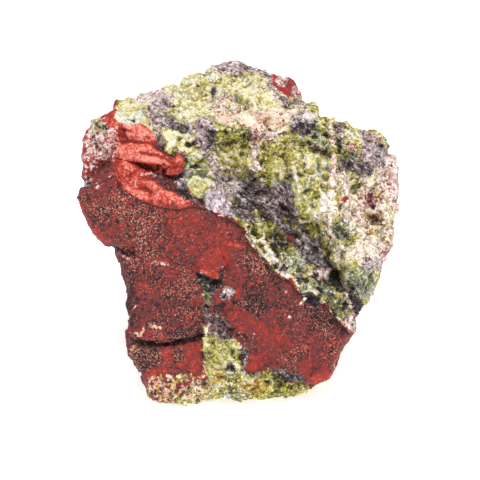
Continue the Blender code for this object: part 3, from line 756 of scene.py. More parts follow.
# Painted highlight: the small quartz dot at (-16.3, 37.2) is a glint.
lay_dots(front, [
    ("slate", 0.10, 0.22, (-19.3, 45.1)), ("quartz", 0.92, 0.16, (-16.3, 37.2)),
    ("jasper", 0.94, 0.3, (-14.6, 33.9)), ("beige", 0.30, 0.2, (-17.6, 36.2)),
])
BLOCK_DOTS = 330
BLOCK_LEAST = (-26.8, 36.0, 0.12, 0.0)
BLOCK_MOST = (-20.6, 47.6, 0.30, 1.0)
dice = np.random.default_rng(19)
for x0, z0, radius, shade in dice.uniform(BLOCK_LEAST, BLOCK_MOST, (BLOCK_DOTS, 4)):
    low_part = float(smooth(np.array((42.5 - z0) / 4.0)))
    if shade < 0.45 + 0.55 * low_part:
        lay_dots(front, [("jasper", 0.60 - 0.14 * low_part, radius * (0.6 + 0.6 * low_part), (x0, z0))])
print("left shoulder laid")

# %% [markdown]
# # The top and the far lump
# The top is mostly pale epidote, painted paler still as light from above, with grey haematite in its
# dips. A warm beige band runs behind the front rim, and the far lump carries one patch of rosy jasper on
# its right end.
# %% Lay the top
# Painted light: the top's tones are set paler because the top faces the light.
lay_patches(front, [
    ("epidote", 0.80, 1.6, [(-14.0, 52.6), (-9.2, 55.0), (-4.2, 57.5), (6.0, 57.0), (9.5, 50.0),
        (8.3, 48.0), (-4.2, 48.7), (-8.3, 46.0), (-12.0, 46.5), (-11.3, 49.2)]),
    ("epidote", 0.64, 1.4, [(-9.0, 51.6), (-6.4, 52.2), (-5.6, 50.8), (-8.2, 50.0)]),
    ("epidote", 0.66, 1.2, [(-4.8, 53.4), (-2.8, 53.8), (-2.6, 52.4), (-4.4, 52.0)]),
    ("celadon", 0.82, 0.7, [(-20.9, 48.9), (-18.7, 49.0), (-16.3, 48.4), (-15.8, 46.3), (-18.3, 45.7),
        (-20.5, 46.3)]),
    ("epidote", 0.82, 0.7, [(-20.7, 48.9), (-20.2, 50.2), (-17.5, 50.9), (-14.8, 50.6), (-14.6, 49.0),
        (-17.0, 48.4), (-19.2, 48.7)]),
    ("lavender", 0.66, 0.8, [(-15.3, 50.5), (-13.3, 51.6), (-11.2, 50.8), (-11.2, 48.7), (-13.7, 48.0),
        (-15.0, 48.8)]),
    ("rosy", 0.66, 0.6, [(-18.2, 50.4), (-15.8, 51.7), (-13.3, 52.8), (-12.6, 51.7), (-15.3, 50.7),
        (-17.3, 49.9)]),
    ("lavender", 0.58, 0.9, [(-15.6, 48.3), (-13.3, 48.3), (-11.3, 47.4), (-10.5, 45.8), (-12.5, 45.0),
        (-14.9, 45.8)]),
    ("slate", 0.40, 0.6, [(-11.9, 46.8), (-10.0, 46.5), (-8.0, 45.8), (-8.1, 44.3), (-10.0, 44.4),
        (-11.5, 45.2)]),
    ("lavender", 0.62, 1.0, [(-5.8, 55.2), (-2.5, 57.6), (1.7, 56.6), (6.0, 55.4), (5.0, 53.7),
        (0.8, 54.3), (-3.0, 54.9)]),
    ("lavender", 0.44, 0.6, [(0.0, 56.8), (3.7, 55.9), (3.9, 54.7), (0.0, 55.1)]),
    ("epidote", 0.79, 1.2, [(-0.8, 53.7), (3.7, 53.7), (6.7, 50.0), (7.3, 48.3), (2.5, 48.7),
        (0.0, 50.8)]),
    ("lavender", 0.58, 0.8, [(4.5, 54.6), (5.5, 53.3), (6.7, 51.3), (8.0, 50.3), (10.8, 50.0),
        (10.6, 48.4), (7.2, 49.0), (5.3, 50.8)]),
    ("jasper", 0.50, 0.8, [(5.2, 55.4), (7.5, 54.8), (9.8, 53.5), (11.0, 51.4), (9.2, 50.5),
        (7.5, 50.9), (6.3, 52.1), (5.5, 53.4)]),
    ("pale", 0.56, 0.9, [(-5.9, 50.4), (-2.5, 50.8), (0.0, 49.9), (2.0, 48.8), (1.3, 47.8),
        (-2.5, 48.2), (-5.0, 48.6)]),
    ("beige", 0.74, 0.9, [(-4.5, 48.2), (-0.8, 47.9), (3.7, 48.5), (10.0, 49.0), (13.6, 47.6),
        (10.0, 46.4), (7.5, 45.6), (3.7, 44.9), (0.0, 45.4), (-3.0, 45.8), (-4.0, 46.9)]),
    ("beige", 0.50, 0.9, [(2.8, 47.5), (5.5, 47.3), (5.3, 46.0), (3.0, 46.1)]),
    ("lavender", 0.80, 0.8, [(8.0, 47.7), (11.0, 48.3), (13.9, 47.2), (11.7, 46.5), (8.7, 46.5)]),
])
lay_dots(front, [
    ("slate", 0.20, 0.5, (-4.4, 51.6)), ("slate", 0.26, 0.3, (-0.8, 54.2)),
    ("slate", 0.28, 0.3, (-6.9, 52.6)), ("rosy", 0.56, 1.1, (7.0, 53.6)),
    ("rosy", 0.52, 0.9, (9.3, 51.6)),
])
print("top laid")

# %% [markdown]
# # The knob, the quartz and the green seam
# In the middle a violet-grey knob stands over a dark dip. Below it lie a grey-green seam and a
# crisp white lump of quartz, and both touch the red face.
# %% Lay the middle
lay_patches(front, [
    ("epidote", 0.93, 0.7, [(-13.3, 45.3), (-10.8, 45.0), (-8.3, 44.3), (-6.7, 43.3), (-7.0, 40.7),
        (-8.3, 40.2), (-9.2, 41.5), (-11.7, 41.5), (-13.3, 43.0)]),
    ("lavender", 0.44, 0.6, [(-15.0, 45.3), (-13.3, 44.7), (-12.7, 43.0), (-12.0, 41.4), (-13.2, 41.6),
        (-14.2, 43.6)]),
    ("lavender", 0.68, 0.6, [(-8.4, 45.6), (-7.2, 47.0), (-5.5, 47.4), (-3.9, 46.1), (-3.4, 44.7),
        (-4.2, 42.5), (-4.5, 41.7), (-6.7, 41.7)]),
    ("slate", 0.38, 0.8, [(-5.8, 45.0), (-4.5, 45.6), (-3.4, 44.5), (-3.9, 42.2), (-5.8, 41.6)]),
    ("lavender", 0.70, 1.2, [(-7.0, 41.7), (-4.3, 41.7), (-2.9, 39.2), (-3.6, 36.3), (-5.3, 36.7),
        (-6.7, 39.2)]),
    ("celadon", 0.70, 0.7, [(-8.5, 40.4), (-6.7, 40.8), (-5.0, 39.2), (-4.2, 37.0), (-4.5, 35.7),
        (-5.8, 34.2), (-6.7, 33.6), (-8.3, 35.0), (-9.0, 37.5)]),
    ("epidote", 0.72, 0.6, [(-9.1, 39.4), (-8.2, 39.4), (-8.2, 37.0), (-9.3, 37.0)]),
    ("epidote", 0.66, 0.6, [(-8.4, 35.4), (-6.7, 35.4), (-6.6, 33.9), (-8.1, 34.0)]),
    ("quartz", 0.49, 0.6, QUARTZ_LUMP),
    ("lavender", 0.44, 0.7, [(-3.4, 35.0), (-2.1, 35.0), (-2.0, 33.4), (-3.3, 33.2)]),
    ("slate", 0.46, 0.6, [(-4.3, 37.0), (-2.5, 38.0), (0.0, 37.0), (1.7, 38.9), (2.7, 37.6),
        (3.7, 35.9), (5.3, 35.3), (7.2, 37.0), (8.3, 37.5), (8.9, 35.0), (9.3, 32.5), (10.2, 29.7),
        (12.2, 27.2), (13.9, 24.7), (15.7, 22.5), (15.0, 21.4), (13.0, 21.9), (10.8, 22.9), (9.5, 24.9),
        (7.5, 26.6), (5.8, 28.6), (3.7, 30.3), (1.7, 29.6), (0.0, 30.2), (-0.9, 31.7), (-1.3, 34.2),
        (-3.0, 35.5)]),
    ("lavender", 0.38, 1.4, [(1.7, 34.5), (5.8, 34.8), (8.3, 33.6), (8.7, 31.3), (5.8, 31.0),
        (2.5, 32.3)]),
    ("lavender", 0.70, 1.4, [(-3.6, 36.8), (-1.8, 37.8), (-0.4, 36.8), (0.2, 35.0), (-1.2, 34.2),
        (-3.0, 35.0)]),
    ("celadon", 0.34, 0.8, [(2.2, 31.8), (3.6, 31.9), (3.8, 30.8), (2.2, 30.6)]),
    ("jasper", 0.30, 0.7, [(7.4, 27.7), (9.3, 27.7), (9.4, 25.8), (7.6, 25.7)]),
    ("epidote", 0.10, 0.9, [(4.7, 28.2), (7.3, 28.3), (8.6, 25.8), (7.9, 23.8), (6.0, 23.7),
        (4.8, 25.7)]),
])
lay_dots(front, [
    ("slate", 0.06, 0.55, (-8.6, 42.7)), ("slate", 0.10, 0.40, (-10.3, 43.6)),
    ("quartz", 0.95, 0.4, (-8.4, 37.6)), ("quartz", 0.95, 0.3, (-9.6, 36.8)),
    ("epidote", 0.42, 0.5, (7.4, 29.9)), ("epidote", 0.20, 0.5, (-7.6, 42.9)),
])
print("middle laid")

# %% [markdown]
# # The green face on the right
# Here the epidote is coarse. Olive, yellow and cream grains lie side by side, a pale ridge runs
# down the face, and the right end is nearly white with brown and purple spots.
# %% Lay the right of the green body
lay_patches(front, [
    ("slate", 0.50, 0.6, [(7.9, 45.9), (9.5, 46.8), (12.0, 46.5), (13.1, 45.6), (11.7, 44.7),
        (10.5, 43.7), (9.7, 44.6)]),
    ("epidote", 0.66, 0.8, [(-3.8, 46.0), (0.6, 45.8), (2.0, 45.0), (0.6, 44.3), (-3.0, 44.6)]),
    ("epidote", 0.46, 1.0, [(-3.5, 45.0), (1.7, 44.7), (1.8, 43.3), (0.8, 42.3), (-2.5, 41.3),
        (-3.9, 41.7)]),
    ("epidote", 0.14, 0.8, [(-0.1, 44.5), (1.8, 44.8), (1.9, 42.9), (0.4, 42.0)]),
    ("rosy", 0.72, 0.9, [(1.9, 44.8), (5.0, 44.8), (8.3, 45.3), (8.6, 44.4), (5.8, 43.3), (3.7, 42.8),
        (2.2, 43.2)]),
    ("epidote", 0.46, 1.2, [(-3.7, 42.0), (1.7, 42.6), (8.3, 44.2), (10.0, 41.7), (8.7, 38.0),
        (5.3, 36.0), (3.0, 37.0), (1.7, 38.7), (0.0, 37.3), (-3.0, 38.3)]),
    ("epidote", 0.70, 1.2, [(-3.4, 41.4), (-0.6, 41.4), (1.4, 40.6), (1.6, 38.9), (0.0, 37.6),
        (-2.8, 38.4)]),
    ("lavender", 0.70, 0.7, [(1.8, 42.8), (3.2, 42.8), (3.0, 38.6), (2.0, 38.8)]),
    ("epidote", 0.72, 0.8, [(5.0, 39.4), (7.0, 39.4), (7.4, 36.7), (5.4, 36.4)]),
    ("epidote", 0.22, 0.8, [(12.2, 45.5), (14.3, 45.5), (15.2, 43.3), (15.0, 40.8), (13.0, 41.3),
        (11.2, 43.3)]),
    ("celadon", 0.36, 0.7, [(12.7, 44.2), (14.0, 44.2), (14.0, 42.5), (12.7, 42.5)]),
    ("epidote", 0.66, 1.2, [(8.7, 41.3), (12.0, 41.5), (15.0, 39.6), (15.3, 33.3), (13.7, 31.3),
        (10.0, 30.8), (8.9, 35.0), (8.3, 38.0)]),
    ("celadon", 0.66, 1.0, [(12.0, 39.4), (14.6, 39.6), (14.8, 37.2), (12.6, 36.8)]),
    ("epidote", 0.50, 1.0, [(10.6, 36.4), (13.0, 36.4), (13.0, 34.4), (11.0, 34.0)]),
    ("epidote", 0.54, 1.0, [(10.6, 30.8), (13.3, 30.8), (14.6, 27.5), (12.4, 27.2)]),
    ("lavender", 0.28, 0.6, [(15.8, 46.2), (17.5, 45.4), (17.7, 41.7), (16.2, 41.5)]),
    ("celadon", 0.64, 1.0, [(17.5, 45.2), (20.3, 44.8), (20.3, 42.5), (18.0, 42.2)]),
    ("lavender", 0.54, 1.0, [(20.2, 44.9), (22.6, 44.2), (25.2, 42.2), (25.2, 39.5), (22.0, 38.6),
        (20.0, 40.0)]),
    ("celadon", 0.36, 1.0, [(16.4, 42.0), (19.6, 42.0), (19.6, 40.0), (16.6, 39.8)]),
    ("slate", 0.42, 0.8, [(16.2, 40.3), (19.2, 40.1), (22.2, 39.1), (22.6, 36.9), (20.7, 36.8),
        (18.7, 38.1), (16.7, 38.5)]),
    ("rosy", 0.40, 0.5, [(17.9, 42.8), (19.3, 42.8), (19.3, 41.7), (18.0, 41.7)]),
    ("rosy", 0.66, 1.2, [(24.4, 40.4), (28.0, 40.4), (28.0, 33.0), (24.8, 34.0)]),
    ("ochre", 0.56, 0.8, [(15.5, 37.0), (16.9, 36.8), (17.2, 32.5), (16.0, 32.3)]),
    ("pale", 0.92, 0.8, [(17.3, 36.3), (18.8, 36.3), (18.8, 34.0), (17.3, 34.0)]),
    ("pale", 0.84, 0.9, [(13.7, 34.8), (15.7, 34.8), (15.6, 31.7), (13.7, 31.7)]),
    ("epidote", 0.84, 0.7, [(21.4, 37.2), (22.8, 37.2), (22.9, 35.0), (21.4, 35.0)]),
    ("rosy", 0.30, 1.2, [(20.3, 35.0), (23.2, 35.0), (23.2, 32.3), (20.7, 32.3)]),
    ("epidote", 0.44, 0.9, [(18.6, 37.4), (20.6, 37.4), (20.4, 34.4), (18.8, 34.6)]),
    ("ochre", 0.10, 0.7, OCHRE_DIP),
    ("ochre", 0.62, 0.8, [(21.2, 29.6), (22.8, 29.6), (22.9, 27.2), (21.3, 27.2)]),
    ("epidote", 0.50, 1.2, [(12.8, 29.6), (15.8, 30.2), (19.6, 29.2), (19.6, 25.6), (16.7, 24.8),
        (13.8, 26.0)]),
    ("celadon", 0.30, 1.2, [(14.6, 29.0), (17.4, 29.4), (18.4, 27.0), (15.8, 26.4)]),
    ("rosy", 0.44, 0.9, [(23.4, 25.4), (25.4, 25.6), (25.0, 23.0), (23.4, 23.2)]),
    ("lavender", 0.64, 0.9, [(20.0, 23.7), (24.4, 23.7), (23.7, 21.3), (20.3, 21.3)]),
    ("epidote", 0.74, 0.8, [(15.8, 23.0), (17.0, 23.0), (17.2, 21.2), (16.0, 21.2)]),
])
lay_lines(front, [
    ("rosy", 0.84, 0.24, PALE_RIDGE),
    ("slate", 0.12, 0.20, [(12.3, 41.9), (13.6, 41.2), (15.0, 40.5)]),
    ("ochre", 0.66, 0.18, [(11.5, 42.2), (12.8, 41.0), (14.2, 40.0)]),
    ("rosy", 0.80, 0.18, [(2.4, 41.0), (2.8, 39.0), (3.8, 38.2)]),
    ("pale", 0.86, 0.18, LOW_RIDGE),
    ("pale", 0.84, 0.16, MIDDLE_RIDGE),
])
lay_dots(front, [
    ("jasper", 0.56, 0.42, (17.5, 33.5)), ("ochre", 0.55, 0.5, (23.1, 34.2)),
    ("slate", 0.10, 0.4, (22.4, 32.4)), ("slate", 0.10, 0.45, (11.6, 43.0)),
    ("epidote", 0.18, 0.5, (10.4, 43.0)), ("jasper", 0.60, 0.3, (15.2, 27.2)),
    ("slate", 0.12, 0.4, (24.0, 42.4)), ("slate", 0.10, 0.35, (22.9, 40.9)),
])
print("right side laid")

# %% [markdown]
# # Along the ledge
# The seam of green that borders the red face is broken small. Its crisp white edge is partly pale
# crust and partly a painted highlight, with a thin painted shadow line below it, and dark grey-green
# hollows lie towards the right tip.
# %% Lay the seam along the ledge
lay_patches(front, [
    ("epidote", 0.54, 0.7, [(0.9, 28.1), (3.7, 28.5), (4.7, 25.8), (5.3, 23.7), (3.7, 23.6),
        (2.0, 25.7)]),
    ("epidote", 0.56, 0.7, [(4.4, 23.6), (7.0, 23.6), (7.6, 21.4), (5.4, 21.2)]),
    ("celadon", 0.52, 0.7, [(6.7, 24.9), (9.3, 24.9), (10.7, 22.8), (10.0, 21.0), (8.0, 21.2),
        (6.3, 22.6)]),
    ("lavender", 0.36, 0.6, [(9.0, 21.4), (11.3, 21.4), (11.3, 19.6), (9.3, 19.6)]),
    ("celadon", 0.40, 0.7, [(9.8, 20.4), (13.0, 20.9), (14.0, 18.7), (11.3, 17.6), (9.9, 18.2)]),
    ("rosy", 0.86, 0.6, [(13.0, 21.8), (14.9, 21.7), (15.2, 19.5), (13.3, 19.4)]),
    ("celadon", 0.36, 0.8, [(14.3, 20.7), (17.0, 20.2), (17.7, 16.7), (17.5, 13.7), (15.8, 14.6),
        (14.3, 17.0), (13.0, 18.3)]),
    ("celadon", 0.24, 0.9, [(15.0, 17.4), (16.8, 17.4), (17.0, 15.2), (15.6, 15.4)]),
    ("slate", 0.12, 0.6, [(15.0, 21.5), (17.0, 21.5), (17.0, 19.7), (15.2, 19.6)]),
    ("celadon", 0.50, 1.0, [(17.7, 22.0), (20.3, 22.4), (23.5, 20.7), (22.0, 17.0), (19.3, 17.2),
        (17.7, 19.0)]),
    ("celadon", 0.28, 0.9, [(18.6, 19.6), (21.0, 19.8), (20.8, 17.8), (19.0, 17.6)]),
    ("slate", 0.10, 0.7, [(16.9, 19.3), (18.7, 18.1), (20.5, 16.9), (20.3, 14.2), (18.8, 14.2),
        (18.0, 15.7)]),
    ("celadon", 0.66, 0.8, [(21.4, 20.9), (23.8, 20.9), (22.9, 17.5), (21.3, 17.5)]),
    ("lavender", 0.50, 0.8, [(17.3, 14.2), (19.6, 14.2), (19.6, 11.2), (18.2, 11.6)]),
    ("slate", 0.14, 0.6, [(9.8, 17.8), (12.0, 17.8), (13.7, 16.6), (13.0, 15.2), (11.0, 15.9)]),
])
SEAM_EDGE = np.array([(0.9, 28.1), (3.2, 24.6), (6.9, 21.0), (13.6, 16.9), (18.2, 12.2)])
SEAM_GRAINS = [("slate", 0.08), ("epidote", 0.22), ("slate", 0.20), ("pale", 0.86)]
SEAM_DOTS = 110
SEAM_LEAST = (0.9, 0.3, 0.14, 0)
SEAM_MOST = (18.2, 3.6, 0.42, len(SEAM_GRAINS))
dice = np.random.default_rng(29)
for x0, above, radius, pick in dice.uniform(SEAM_LEAST, SEAM_MOST, (SEAM_DOTS, 4)):
    name, tone = SEAM_GRAINS[int(pick)]
    edge_height = float(np.interp(x0, *SEAM_EDGE.T))
    lay_dots(front, [(name, tone, radius, (x0, edge_height + above))])
lay_lines(front, [
    ("pale", 0.90, 0.26, SEAM_SPUR),
    # Partly pale crust, partly painted highlight: this line and the SEAM_END line run along the seam's lit
    # edge.
    ("pale", 0.86, 0.16, [(0.9, 28.3), (2.1, 26.0), (3.2, 24.6), (4.7, 23.4), (5.2, 22.0), (6.9, 21.0),
        (8.9, 20.0), (9.8, 18.5), (10.1, 17.5)]),
    ("pale", 0.86, 0.16, SEAM_END),
    ("pale", 0.70, 0.10, [(10.0, 15.3), (10.5, 16.2), (11.0, 16.8)]),
    ("pale", 0.84, 0.16, TIP_RIDGE),
    ("rosy", 0.76, 0.16, [(18.8, 14.8), (18.6, 13.2), (18.0, 12.4)]),
])
for name in MINERALS:
    print(name, "covers", round(float(front[name][edge_board < 0].mean()) * 100, 1), "%")

# %% [markdown]
# # Inside the stone
# The back and the sides show the same minerals, cut through somewhere else. So a second, simpler
# map holds only the large bodies. It is read with large wobbles that grow into the stone, and its
# borders wander the way that grown minerals do, instead of running straight back as stripes.
# %% Lay the map of the inside
WANDER = 5.5
WANDER_SIZE = 11.0
SLIDE = 0.32
FRONT_SKIN = 1.6
FRONT_FADE = 2.4

inside = new_map("jasper", 0.40)
lay_patches(inside, [
    ("epidote", 0.56, 2.0, GREEN_BODY),
    ("epidote", 0.52, 2.0, [(-14.0, 4.0), (-4.0, 9.0), (6.0, 6.0), (18.0, 3.0), (18.0, -11.0),
        (-20.0, -11.0)]),
    ("pale", 0.60, 3.0, PALE_BODY),
    ("slate", 0.28, 1.5, [(-6.0, 38.0), (4.0, 36.0), (9.0, 31.0), (14.0, 22.0), (11.0, 20.0),
        (5.0, 27.0), (-3.0, 31.0)]),
    ("rosy", 0.50, 2.0, [(-32.0, 50.0), (-20.0, 50.0), (-19.0, 41.0), (-24.0, 35.0), (-32.0, 35.0)]),
    ("jasper", 0.62, 3.0, [(-20.0, 44.0), (-10.0, 44.0), (-8.0, 36.0), (-20.0, 33.0)]),
    ("celadon", 0.50, 2.0, [(-12.0, 50.0), (-4.0, 52.0), (2.0, 49.0), (-5.0, 44.0)]),
    ("jasper", 0.58, 2.0, [(4.0, 60.0), (14.0, 58.0), (14.0, 49.0), (6.0, 50.0)]),
    ("lavender", 0.40, 2.0, [(18.0, 48.0), (28.0, 46.0), (28.0, 38.0), (19.0, 38.0)]),
    ("jasper", 0.62, 2.5, [(4.0, 14.0), (16.0, 11.0), (14.0, 4.0), (4.0, 7.0)]),
])
print("inside map holds", round(float(inside["jasper"][edge_board < 0].mean()) * 100), "% jasper")

# %% [markdown]
# # Guests in every patch
# No patch is pure, because grains of other minerals sit in it. A table gives each mineral its
# guests. Slow noise gathers them, so that they come in swarms instead of an even sprinkle.
# %% Read the minerals at any place
SEAM_WIDTH = 0.09
SEAM_TONE = 0.66
GUEST_PATCH = 3.2
COMPANIONS = {
    "epidote": {"slate": 0.06, "pale": 0.10, "rosy": 0.05, "ochre": 0.08, "celadon": 0.14},
    "pale": {"rosy": 0.16, "epidote": 0.10, "lavender": 0.08, "ochre": 0.06, "slate": 0.05},
    "slate": {"lavender": 0.10, "epidote": 0.05, "celadon": 0.05, "rosy": 0.02},
    "lavender": {"slate": 0.16, "rosy": 0.12, "epidote": 0.05},
    "rosy": {"jasper": 0.08, "lavender": 0.08, "pale": 0.10},
    "celadon": {"epidote": 0.26, "slate": 0.10, "pale": 0.10},
    "ochre": {"epidote": 0.20, "pale": 0.14, "slate": 0.06},
    "beige": {"rosy": 0.14, "pale": 0.10, "epidote": 0.08, "jasper": 0.05},
    "quartz": {"lavender": 0.26, "slate": 0.05, "rosy": 0.08},
}


def under_skin(x, y, z):
    """How deep each place lies below the front, measured straight into its slope."""
    return (y - read_board(front_board, x, z)) / read_board(steep_board, x, z)


def minerals_at(points):
    """Share of each mineral and the tone at any places, from both maps."""
    x, y, z = points.T
    ragged = [noise_layers(points, [(0.34, 1.7, 100 + n), (0.14, 0.7, 110 + n)]) for n in range(2)]
    within = smooth((under_skin(x, y, z) - FRONT_SKIN) / FRONT_FADE)
    reach = WANDER * np.clip((y - 2.0) / 12.0, 0.2, 1.0)
    wander = [noise_layers(points, [(1.0, WANDER_SIZE, 120 + n), (0.5, 4.5, 130 + n)]) for n in range(2)]
    deep_x = x + reach * wander[0] + SLIDE * (y - 10.0)
    deep_z = z + reach * wander[1]
    found = {}
    for name in MINERALS + ["tone"]:
        at_front = read_board(front[name], x + ragged[0], z + ragged[1])
        found[name] = at_front * (1.0 - within) + read_board(inside[name], deep_x, deep_z) * within
    seam = np.abs(noise_layers(points, [(1.0, 9.0, 140), (0.4, 3.0, 141)]))
    seam = smooth(1.0 - seam / SEAM_WIDTH) * within * found["jasper"]
    for name in MINERALS:
        found[name] *= 1.0 - seam
    found["epidote"] += seam
    found["tone"] += within * noise_layers(points, [(0.10, 5.0, 142), (0.08, 2.0, 143)])
    found["tone"] += seam * (SEAM_TONE - found["tone"])
    clouds = (1.0 - within) * 0.09 * value_noise(points, 2.4, 144)
    found["tone"] += (1.0 - found["jasper"]) * (0.03 + clouds)
    gathered = {}
    for n, name in enumerate(MINERALS):
        gathered[name] = 0.2 + 1.7 * smooth(0.5 + 1.2 * value_noise(points, GUEST_PATCH, 150 + n))
    for name, guests in COMPANIONS.items():
        shares = {guest: share * gathered[guest] for guest, share in guests.items()}
        host = found[name] * (1.0 - sum(shares.values()))
        for guest, share in shares.items():
            found[guest] = found[guest] + share * found[name]
        found[name] = host
    return found


middle = minerals_at(np.array([[0.0, 30.0, 28.0]]))
print("jasper share inside, at the middle:", round(float(middle["jasper"][0]), 2))

# %% [markdown]
# # Grain that stands out
# Epidote breaks into small blocky grains and jasper breaks nearly smooth. The skin gets small
# fracture facets, each tilted its own way, and their height follows the mineral. Cracks are cut in
# last. Bump in a shader would look alike from afar, but it would leave the outline smooth.
# %% Raise the grain and cut the cracks
ROUGHNESS = {"jasper": 0.30, "epidote": 1.0, "slate": 0.8, "lavender": 0.9, "rosy": 0.55, "pale": 0.8,
             "celadon": 0.8, "ochre": 0.9, "beige": 0.7, "quartz": 1.1}
REAR_JASPER = 0.35
GRAIN_HEIGHT = 0.9
CRACK_WOBBLE = 0.22
FACETS = [(2.6, 0.25, 0.18, 0.07, 51), (1.25, 0.28, 0.11, 0.05, 52), (0.7, 0.16, 0.06, 0.05, 53)]
CRACKS = [
    ([(-20.8, 25.4), (-19.6, 24.9)], 0.20, 0.25),
    (CORNER_CRACK_AND_SHADE, 0.26, 0.55),
    (LIP_CRACK_AND_SHADOW, 0.32, 0.6),
    ([(0.4, 28.0), (1.6, 25.7), (2.7, 24.3), (4.2, 23.0), (4.6, 21.6), (6.6, 20.3), (8.5, 19.3),
        (9.3, 18.0), (9.6, 17.0)], 0.32, 0.45),
    ([(13.2, 16.4), (14.9, 14.2), (16.0, 12.9), (18.4, 11.1)], 0.30, 0.45),
    (VEIN_CRACK, 0.30, 0.4),
    ([(-6.2, 12.9), (-6.3, 9.0), (-6.4, 5.0)], 0.30, 0.4),
    ([(0.4, 9.1), (0.1, 7.0), (0.6, 5.0)], 0.26, 0.35),
]
PLATES = [
    (0.40, 0.18, [(-7.3, 23.0), (-5.8, 25.0), (-3.0, 25.8), (-1.3, 23.3), (-3.0, 21.7), (-3.4, 19.9),
        (-6.8, 21.3)]),
    (0.32, 0.20, HIGH_PLANE),
    (-0.45, 0.30, [(-17.9, 40.1), (-15.3, 39.4), (-13.7, 39.1), (-11.9, 39.7), (-13.3, 38.2),
        (-15.0, 37.9), (-16.7, 38.7)]),
    (0.30, 0.20, RIGHT_PLANE),
    (0.26, 0.22, BENCH),
    (0.30, 0.22, [(-20.0, 46.0), (-17.5, 45.8), (-15.4, 45.0), (-14.0, 43.6), (-15.4, 43.5),
        (-19.0, 44.1)]),
    (0.60, 0.30, QUARTZ_LUMP),
    (0.70, 0.80, [(-3.5, 45.6), (1.6, 45.3), (1.8, 44.0), (0.9, 43.4), (-2.6, 42.6), (-3.8, 43.0)]),
    (-0.25, 0.80, [(8.2, 45.6), (9.6, 46.3), (12.0, 46.0), (12.9, 45.3), (11.6, 44.6), (10.5, 43.9),
        (9.7, 44.4)]),
    (-0.6, 0.70, OCHRE_DIP),
]
RIDGES = [
    (PALE_RIDGE, 0.45, 0.6),
    ([(0.9, 28.3), (2.1, 26.0), (3.2, 24.6), (4.7, 23.4), (5.2, 22.0), (6.9, 21.0), (8.9, 20.0),
        (9.8, 18.5)], 0.35, 0.35),
    (SEAM_END, 0.35, 0.35),
    (LOW_RIDGE, 0.40, 0.4),
    (MIDDLE_RIDGE, 0.40, 0.4),
    (SEAM_SPUR, 0.35, 0.35),
    (TIP_RIDGE, 0.35, 0.4),
]


def facets(points, size, tilt, level, blend, seed):
    """Height of small fracture facets: one plane for each cell of a jittered lattice."""
    dice = np.random.default_rng(seed)
    jitter = dice.uniform(0.0, 1.0, (LATTICE,) * 3 + (3,))
    slopes = dice.normal(0.0, tilt, (LATTICE,) * 3 + (3,))
    levels = dice.normal(0.0, level, (LATTICE,) * 3)
    base = np.floor(points / size).astype(int)
    gaps, heights = [], []
    for step in np.ndindex(3, 3, 3):
        cell = base + step - 1
        i, j, k = (cell % LATTICE).T
        off = points - (cell + jitter[i, j, k]) * size
        gaps.append(np.sqrt(np.sum(off * off, axis=1)))
        heights.append(levels[i, j, k] + np.sum(off * slopes[i, j, k], axis=1))
    gaps, heights = np.array(gaps), np.array(heights)
    weights = np.exp((gaps.min(axis=0) - gaps) / blend)
    return np.sum(weights * heights, axis=0) / np.sum(weights, axis=0)


found = minerals_at(places)
x, y, z = places.T
rough = sum(ROUGHNESS[name] * found[name] for name in MINERALS)
rough += REAR_JASPER * found["jasper"] * smooth((y - read_board(front_board, x, z) - 2.0) / 3.0)
in_front = 1.0 - smooth((under_skin(x, y, z) - 1.0) / 1.5)
grain = sum(facets(places, *facet) for facet in FACETS)
grain += noise_layers(places, [(0.10, 0.9, 60), (0.20, 1.9, 61)])
relief = rough * grain * GRAIN_HEIGHT
for points, half_width, depth in CRACKS:
    gap, _ = along_line(x, z, points)
    gap += CRACK_WOBBLE * value_noise(places, 1.0, 62)
    relief -= in_front * depth * np.exp(-((gap / half_width) ** 2))
for points, half_width, height in RIDGES:
    gap, _ = along_line(x, z, points)
    relief += in_front * height * np.exp(-((gap / half_width) ** 2))
for height, border, outline in PLATES:
    relief += in_front * height * smooth(-beyond_edge(x, z, outline) / border)
outward, rise = outward_slope(places)
standing = leaned(places + relief[:, None] * outward)
on_foot = under_foot > -0.05
standing[on_foot] = leaned(places[on_foot])
standing[:, 2] = np.maximum(standing[:, 2], 0.0)
skin.vertices.foreach_set("co", standing.astype(np.float32).ravel())
skin.update()
print("grain stands", round(float(np.abs(relief).mean()), 3), "mm on average")

# %% [markdown]
# # Fewer triangles where nobody looks closely
# The net is now finer than a real-time scene would like. A Decimate modifier merges triangles where
# the skin is flat. A vertex group tells it to start at the back and below, so the face that tells
# the most keeps its fine net.
# %% Thin the net
TRIANGLES = 192000
THIN_LEVELS = 5
THIN_FACTOR = 0.6

thin_here = stone.vertex_groups.new(name="thin_here")
rear = smooth((y - read_board(front_board, x, z) - 3.0) / 8.0)
for level in range(1, THIN_LEVELS + 1):
    chosen = np.nonzero(np.round(rear * THIN_LEVELS) == level)[0]
    thin_here.add(chosen.tolist(), level / THIN_LEVELS, "REPLACE")
thinning = stone.modifiers.new("thinning", "DECIMATE")
thinning.ratio = TRIANGLES / (2.0 * len(skin.polygons))
thinning.vertex_group = "thin_here"
thinning.vertex_group_factor = THIN_FACTOR
thinned = bpy.data.meshes.new_from_object(stone.evaluated_get(bpy.context.evaluated_depsgraph_get()))
stone.modifiers.clear()
stone.vertex_groups.clear()
stone.data = thinned
skin = thinned
places = drawn(corners_of(skin))
x, y, z = places.T
found = minerals_at(places)
in_front = 1.0 - smooth((under_skin(x, y, z) - 1.0) / 1.5)
print("thinned to", sum(len(face.vertices) - 2 for face in skin.polygons), "triangles")

